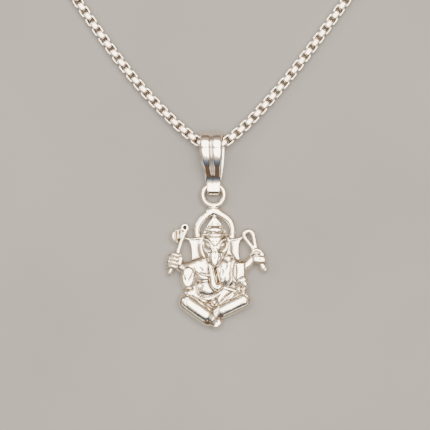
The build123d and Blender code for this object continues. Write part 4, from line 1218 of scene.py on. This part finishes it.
def link_points(around=16, section=10):
    """A ring of strip, a section in each row, and how much painted shade each point takes.

    The section runs clockwise while the ring runs counterclockwise, so the facets face out. The
    middle of each flat takes painted shade and a little more roughness, 1, a grey reflection
    painted on; edges and corners take a painted highlight, 0. That is one less the fourth power
    across the strip, times one less the square of nearness to a corner.
    """
    along, across = rounded(even_turns(around), (CORNER_POWER, CORNER_POWER))
    wide, out = rounded(-even_turns(section), SECTION_POWER)
    inset = (1 - out) * STRIP_THICK / 2
    u = along[:, None] * (LINK_LENGTH / 2 - inset)
    v = across[:, None] * (CHAIN_WIDTH / 2 - inset)
    w = np.broadcast_to(wide * STRIP_WIDTH / 2, u.shape)
    dull_and_painted_shade = (1 - np.abs(wide) ** 4) * (1 - (along * across / CORNER_PAINTED_HIGHLIGHT)[:, None] ** 2)
    return np.stack([u, v, w], axis=2), np.clip(dull_and_painted_shade, 0, 1)


# %% [markdown]
# All links are one mesh. A frame travels along the line: its side is level, square to the line's
# direction, and odd links swap side and up.


# %% Lay the links along the route
def on_line(distance):
    """Points of the line at distances along it."""
    return np.stack([np.interp(distance, travelled, line[:, i]) for i in range(3)], axis=1)


def unit(vectors):
    """The same directions, one long."""
    return vectors / np.linalg.norm(vectors, axis=1, keepdims=True)


def make_chain():
    """Link points placed by the line's own frame: along the line, then level side, then up."""
    count = 2 * round(chain_length / LINK_PITCH / 2)
    middle = (np.arange(count) + 0.5) * chain_length / count
    forward = unit(on_line(middle + LINK_PITCH / 2) - on_line(middle - LINK_PITCH / 2))
    level = unit(np.cross([0, 0, 1.0], forward))
    upward = np.cross(forward, level)
    odd = (np.arange(count) % 2 == 1)[:, None]
    second = np.where(odd, upward, level)
    third = np.where(odd, -level, upward)
    link, dull_and_painted_shade = link_points()
    place = on_line(middle)[:, None, None]
    points = place + (link[None, ..., 0:1] * forward[:, None, None]
                      + link[None, ..., 1:2] * second[:, None, None]
                      + link[None, ..., 2:3] * third[:, None, None])
    facets = grid_facets(*link.shape[:2])
    shift = (np.arange(count) * dull_and_painted_shade.size)[:, None, None]
    print(count, "links at", round(chain_length / count / MM, 3), "mm")
    piece = put_mesh("chain_links", points.reshape(-1, 3), (facets[None] + shift).reshape(-1, 4))
    # Each link's painted shade and painted highlight go into the attribute that the silver reads
    patina_and_painted_shade = piece.data.attributes.new("patina_and_painted_shade", "FLOAT", "POINT")
    patina_and_painted_shade.data.foreach_set("value", np.tile(dull_and_painted_shade.ravel(), count))
    return piece


chain = make_chain()
print("chain metal", metal_volume(chain), "cubic mm")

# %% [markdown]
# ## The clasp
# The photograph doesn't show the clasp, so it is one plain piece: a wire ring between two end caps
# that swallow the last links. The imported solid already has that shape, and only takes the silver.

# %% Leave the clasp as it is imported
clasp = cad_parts["clasp"]
print("clasp facets", len(clasp.data.polygons))

# %% [markdown]
# ## Silver
# Sterling silver is a little warmer than white. Polished by hand it keeps fine scratches that
# soften its reflections, and the tarnish left in the recesses is a brown-black sulphide film. The
# colour given to that film here also carries painted shade.
# Colours are written as screen colours, and a shader counts in light, so one function turns the
# first into the second; another adds a node with its settings and links.


# %% Helpers that make materials
def linear(code):
    """An sRGB hex colour as linear red, green, blue and alpha."""
    share = np.array([int(code[i:i + 2], 16) for i in (0, 2, 4)]) / 255
    value = np.where(share <= 0.04045, share / 12.92, ((share + 0.055) / 1.055) ** 2.4)
    return (*value.tolist(), 1.0)


def add(tree, kind, settings=None, links=None):
    """One node with its settings, and links into its sockets by name or number."""
    node = tree.nodes.new(kind)
    for key, value in (settings or {}).items():
        if isinstance(key, int) or key in node.inputs:
            node.inputs[key].default_value = value
        else:
            setattr(node, key, value)
    for key, socket in (links or {}).items():
        tree.links.new(socket, node.inputs[key])
    return node


def grey(value):
    """A plain number as a colour."""
    return (value, value, value, 1)


def blend_colours(tree, source, stops):
    """A colour for each value of the source, from rows of position and linear colour."""
    node = add(tree, "ShaderNodeValToRGB", links={"Fac": source})
    shades = node.color_ramp
    shades.elements[0].position, shades.elements[0].color = stops[0]
    shades.elements[1].position, shades.elements[1].color = stops[-1]
    for position, colour in stops[1:-1]:
        shades.elements.new(position).color = colour
    return node.outputs["Color"]


def noise(tree, place, grain, detail):
    """A noise whose blotches are about as wide as the grain, in metres."""
    settings = {"Scale": 1 / grain, "Detail": detail}
    return add(tree, "ShaderNodeTexNoise", settings, {"Vector": place}).outputs["Fac"]


# %% [markdown]
# Every silver here shares one recipe: the metal's colour and roughness, darker and duller where
# the piece's attribute says so, and two noises. On the figure that attribute marks patina and
# painted shade in the recesses; on the links it marks painted shade in the middle of each flat,
# between painted highlights. The slow noise is hand polishing, which leaves the surface a little
# uneven over a millimetre or more and changes its roughness. The fast one stands for hairline
# scratches: real ones are near 0.01 mm wide, too fine to show here, so they are drawn 0.2 to 0.4
# mm wide. A metal keeps the default IOR, because its colour alone says how it reflects.


# %% One recipe for silver
NOISE_LOW, NOISE_HIGH = 0.3, 0.7
SMOOTHEST, ROUGHEST = 0.75, 1.3
PATINA_SHADE_START, PATINA_SHADE_MIDDLE, PATINA_SHADE_FULL = 0.08, 0.36, 0.95
PATINA_SHADE_ROUGHNESS = 0.28
POLISH_LOW, POLISH_HIGH, POLISH_SHADE = 0.25, 0.75, 0.96
SCRATCH_STRENGTH = 0.35


def silver(name, colour, rough, polish_mm, scratch_mm, bumps, patina_and_shade_colours=None):
    """Polished silver: colour, roughness, size of both noises, their depths in mm, and patina and
    painted shade.
    """
    material = bpy.data.materials.new(name)
    material.use_nodes = True
    tree = material.node_tree
    shader = tree.nodes["Principled BSDF"]
    shader.inputs["Metallic"].default_value = 1
    bright = linear(colour)
    place = add(tree, "ShaderNodeTexCoord").outputs["Object"]
    slow = noise(tree, place, polish_mm * MM, detail=2.0)
    fast = noise(tree, place, scratch_mm * MM, detail=3.0)
    roughness = blend_colours(tree, slow, ((NOISE_LOW, grey(rough * SMOOTHEST)),
                                           (NOISE_HIGH, grey(rough * ROUGHEST))))
    if patina_and_shade_colours:
        # Tint and dullness from the attribute: patina and painted shade on the figure, painted
        # shade on links
        depth = add(tree, "ShaderNodeAttribute", {"attribute_name": "patina_and_painted_shade"}).outputs["Fac"]
        stops = ((PATINA_SHADE_START, bright), (PATINA_SHADE_MIDDLE, linear(patina_and_shade_colours[0])), (PATINA_SHADE_FULL, linear(patina_and_shade_colours[1])))
        tint = blend_colours(tree, depth, stops)
        dull_and_painted_shade = add(tree, "ShaderNodeMath", {"operation": "MULTIPLY_ADD", 1: PATINA_SHADE_ROUGHNESS},
                   {0: depth, 2: roughness})
        roughness = dull_and_painted_shade.outputs[0]
    else:
        shade = tuple(POLISH_SHADE * c for c in bright)
        tint = blend_colours(tree, slow, ((POLISH_LOW, bright), (POLISH_HIGH, shade)))
    tree.links.new(tint, shader.inputs["Base Color"])
    tree.links.new(roughness, shader.inputs["Roughness"])
    uneven = add(tree, "ShaderNodeBump", {"Distance": bumps[0] * MM}, {"Height": slow})
    relief = add(tree, "ShaderNodeBump", {"Distance": bumps[1] * MM, "Strength": SCRATCH_STRENGTH},
                 {"Height": fast, "Normal": uneven.outputs["Normal"]})
    tree.links.new(relief.outputs["Normal"], shader.inputs["Normal"])
    return material


# %% [markdown]
# The four pieces are one metal, made and finished in four ways: cast and dipped, with painted
# shade in its recesses; rolled and mirror polished; strip links with painted shade on their flats
# and painted highlights on their edges; and buffed on a soft wheel.

# %% The four silvers
# Cast sterling silver, oxidised and buffed: bright tops, recesses tinted with patina and painted
# shade
CAST = silver("oxidised_cast_silver_painted_shade", "f6ecda", 0.13, 1.1, 0.25, (0.05, 0.012),
              patina_and_shade_colours=("d3c6b1", "75685a"))
# Rolled sterling sheet, mirror polished: the sharpest reflections of all the pieces
SHEET = silver("mirror_polished_sheet_silver", "f4ebdf", 0.1, 3.0, 0.4, (0.02, 0.006))
# Strip links: painted highlights on edges and corners, painted grey shade in the middle of each
# flat
LINKS = silver("link_silver_painted_shade_and_highlight", "f8ead8", 0.12, 1.2, 0.2, (0.02, 0.01),
               patina_and_shade_colours=("e8d9c9", "cfbdab"))
# A plain clasp polished on a soft wheel: even and a little softer than the sheet
PLAIN = silver("polished_clasp_silver", "f2ede5", 0.12, 2.0, 0.3, (0.02, 0.01))
print("materials", [m.name for m in (CAST, SHEET, LINKS, PLAIN)])

# %% [markdown]
# Each new piece takes the place of one imported node, which is hidden. The clasp keeps its imported
# mesh, so only the material in its slots changes.

# %% Dress the pieces
for piece, node, slot, material in ((figure, "figure", "cast_silver", CAST),
                                    (bail, "bail", "bail_silver", SHEET),
                                    (chain, "chain", "chain_silver", LINKS)):
    piece.data.materials.append(material)
    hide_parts(node)
    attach(piece, "root")
    print(piece.name, "stands for", node, "in", material.name)
for place in clasp.material_slots:
    place.material = PLAIN

# %% [markdown]
# ## Table, lights and camera
# Polished metal shows what it reflects, so the lights are shaped for that: one broad soft box
# overhead makes every level facet white, and a dim room leaves the steep sides grey. The table is
# a board under matt paint, whose faint clouds come from the roller.


# %% The table
TABLE_HALF = 0.9
TABLE_CLOUD = 0.1 / 3
TABLE_ROUGHNESS = 0.7


def make_table():
    """A plain pale board under everything."""
    corners = [(-TABLE_HALF, -TABLE_HALF, 0), (TABLE_HALF, -TABLE_HALF, 0),
               (TABLE_HALF, TABLE_HALF, 0), (-TABLE_HALF, TABLE_HALF, 0)]
    table = put_mesh("table", corners, [(0, 1, 2, 3)])
    material = bpy.data.materials.new("pale_painted_board")
    material.use_nodes = True
    tree = material.node_tree
    shader = tree.nodes["Principled BSDF"]
    shader.inputs["Roughness"].default_value = TABLE_ROUGHNESS
    place = add(tree, "ShaderNodeTexCoord").outputs["Object"]
    cloud = noise(tree, place, TABLE_CLOUD, detail=4.0)
    shade = blend_colours(tree, cloud, ((NOISE_LOW, linear("82807e")),
                                        (NOISE_HIGH, linear("8a8886"))))
    tree.links.new(shade, shader.inputs["Base Color"])
    table.data.materials.append(material)
    return table


table = make_table()

# %% [markdown]
# Two square lamps light the table. The large warm one hangs over it; the small cool one stands for
# a window far to the left, and gives the forms a side to their shade.

# %% The lights
# Each row is a name, a place and a size in metres, a power in watts, and a colour
LAMPS = (("overhead", (0.05, 0.12, 0.75), 0.72, 13.6, (1.0, 0.925, 0.82)),
         ("window", (-0.6, 0.35, 0.55), 0.3, 2.2, (0.95, 0.97, 1.0)))
LAMP_AIM = Vector((0, 0.02, 0))


def soft_box(name, place, size, power, colour):
    """A square lamp that faces a point on the table."""
    data = bpy.data.lights.new(name, "AREA")
    data.size = size
    data.energy = power
    data.color = colour
    lamp = bpy.data.objects.new(name, data)
    bpy.context.scene.collection.objects.link(lamp)
    lamp.location = place
    lamp.rotation_euler = (LAMP_AIM - Vector(place)).to_track_quat("-Z", "Y").to_euler()
    print(name, "lamp", power, "W")


for lamp in LAMPS:
    soft_box(*lamp)


# %% [markdown]
# The room itself is a sky of tones by height: cream above, then tan, slate and wood brown down the
# walls. On the near side a long window stands over the table's edge with a dark beam above it, and
# a brown and slate card stands before its middle. Curved silver turns that into white bands with
# slate lines between them.

# %% The room
WALLS = ((0.0, "5f4a3b"), (0.15, "7a6452"), (0.3, "6d7076"), (0.45, "a08c76"), (0.62, "c9b69e"),
         (0.8, "e8d9c4"), (1.0, "fbf1e2"))
WINDOW = ((0.0, "4d4038"), (0.24, "5c646e"), (0.33, "fff6e8"), (0.48, "fff6e8"), (0.58, "2f3741"),
          (0.85, "3a424c"), (0.93, "fbf1e2"))
CARD = ((0.0, "4d4038"), (0.5, "63503f"), (0.66, "4f4a48"), (0.78, "5b6877"), (0.87, "8f979f"),
          (0.93, "fbf1e2"))
CARD_SIDE = {"From Min": 0.14, "From Max": 0.32}
NEAR_SIDE = {"From Min": -0.2, "From Max": -0.5}
ROOM_STRENGTH = 1.6


def room_tones(tree, height, rows):
    """The colour of one side of the room at each height, from rows of height and hex colour."""
    return blend_colours(tree, height, [(position, linear(code)) for position, code in rows])


def mix(tree, share, first, second):
    """The first colour where the share is 0, the second where it is 1."""
    node = add(tree, "ShaderNodeMix", {"data_type": "RGBA"}, {0: share, 6: first, 7: second})
    return node.outputs[2]


def make_room():
    """World light by the direction's upward share, with other tones towards the near side."""
    room = bpy.data.worlds.new("room")
    room.use_nodes = True
    tree = room.node_tree
    place = add(tree, "ShaderNodeTexCoord").outputs["Generated"]
    x, y, z = add(tree, "ShaderNodeSeparateXYZ", links={"Vector": place}).outputs
    sideways = add(tree, "ShaderNodeMath", {"operation": "ABSOLUTE"}, {0: x}).outputs[0]
    aside = add(tree, "ShaderNodeMapRange", CARD_SIDE, {"Value": sideways}).outputs["Result"]
    near = add(tree, "ShaderNodeMapRange", NEAR_SIDE, {"Value": y}).outputs["Result"]
    wall, window, card = (room_tones(tree, z, rows) for rows in (WALLS, WINDOW, CARD))
    front = mix(tree, aside, card, window)
    background = tree.nodes["Background"]
    tree.links.new(mix(tree, near, wall, front), background.inputs["Color"])
    background.inputs["Strength"].default_value = ROOM_STRENGTH
    bpy.context.scene.world = room


make_room()

# %% [markdown]
# The photograph looks straight down, and its frame is 64.5 mm square round a point in the halo. A
# long lens keeps the view nearly parallel, as in the photograph.

# %% The camera
VIEW_MIDDLE = (0.15 * MM, 7.95 * MM)
VIEW_SIZE = 64.5 * MM
FOCAL = 200.0
SENSOR = 36.0

lens = bpy.data.cameras.new("overhead_view")
lens.lens = FOCAL
lens.sensor_width = SENSOR
lens.clip_start = 0.01
camera = bpy.data.objects.new("overhead_view", lens)
camera.location = (*VIEW_MIDDLE, VIEW_SIZE * FOCAL / SENSOR)
bpy.context.scene.collection.objects.link(camera)
bpy.context.scene.camera = camera
print("camera height", round(camera.location.z, 3), "m")
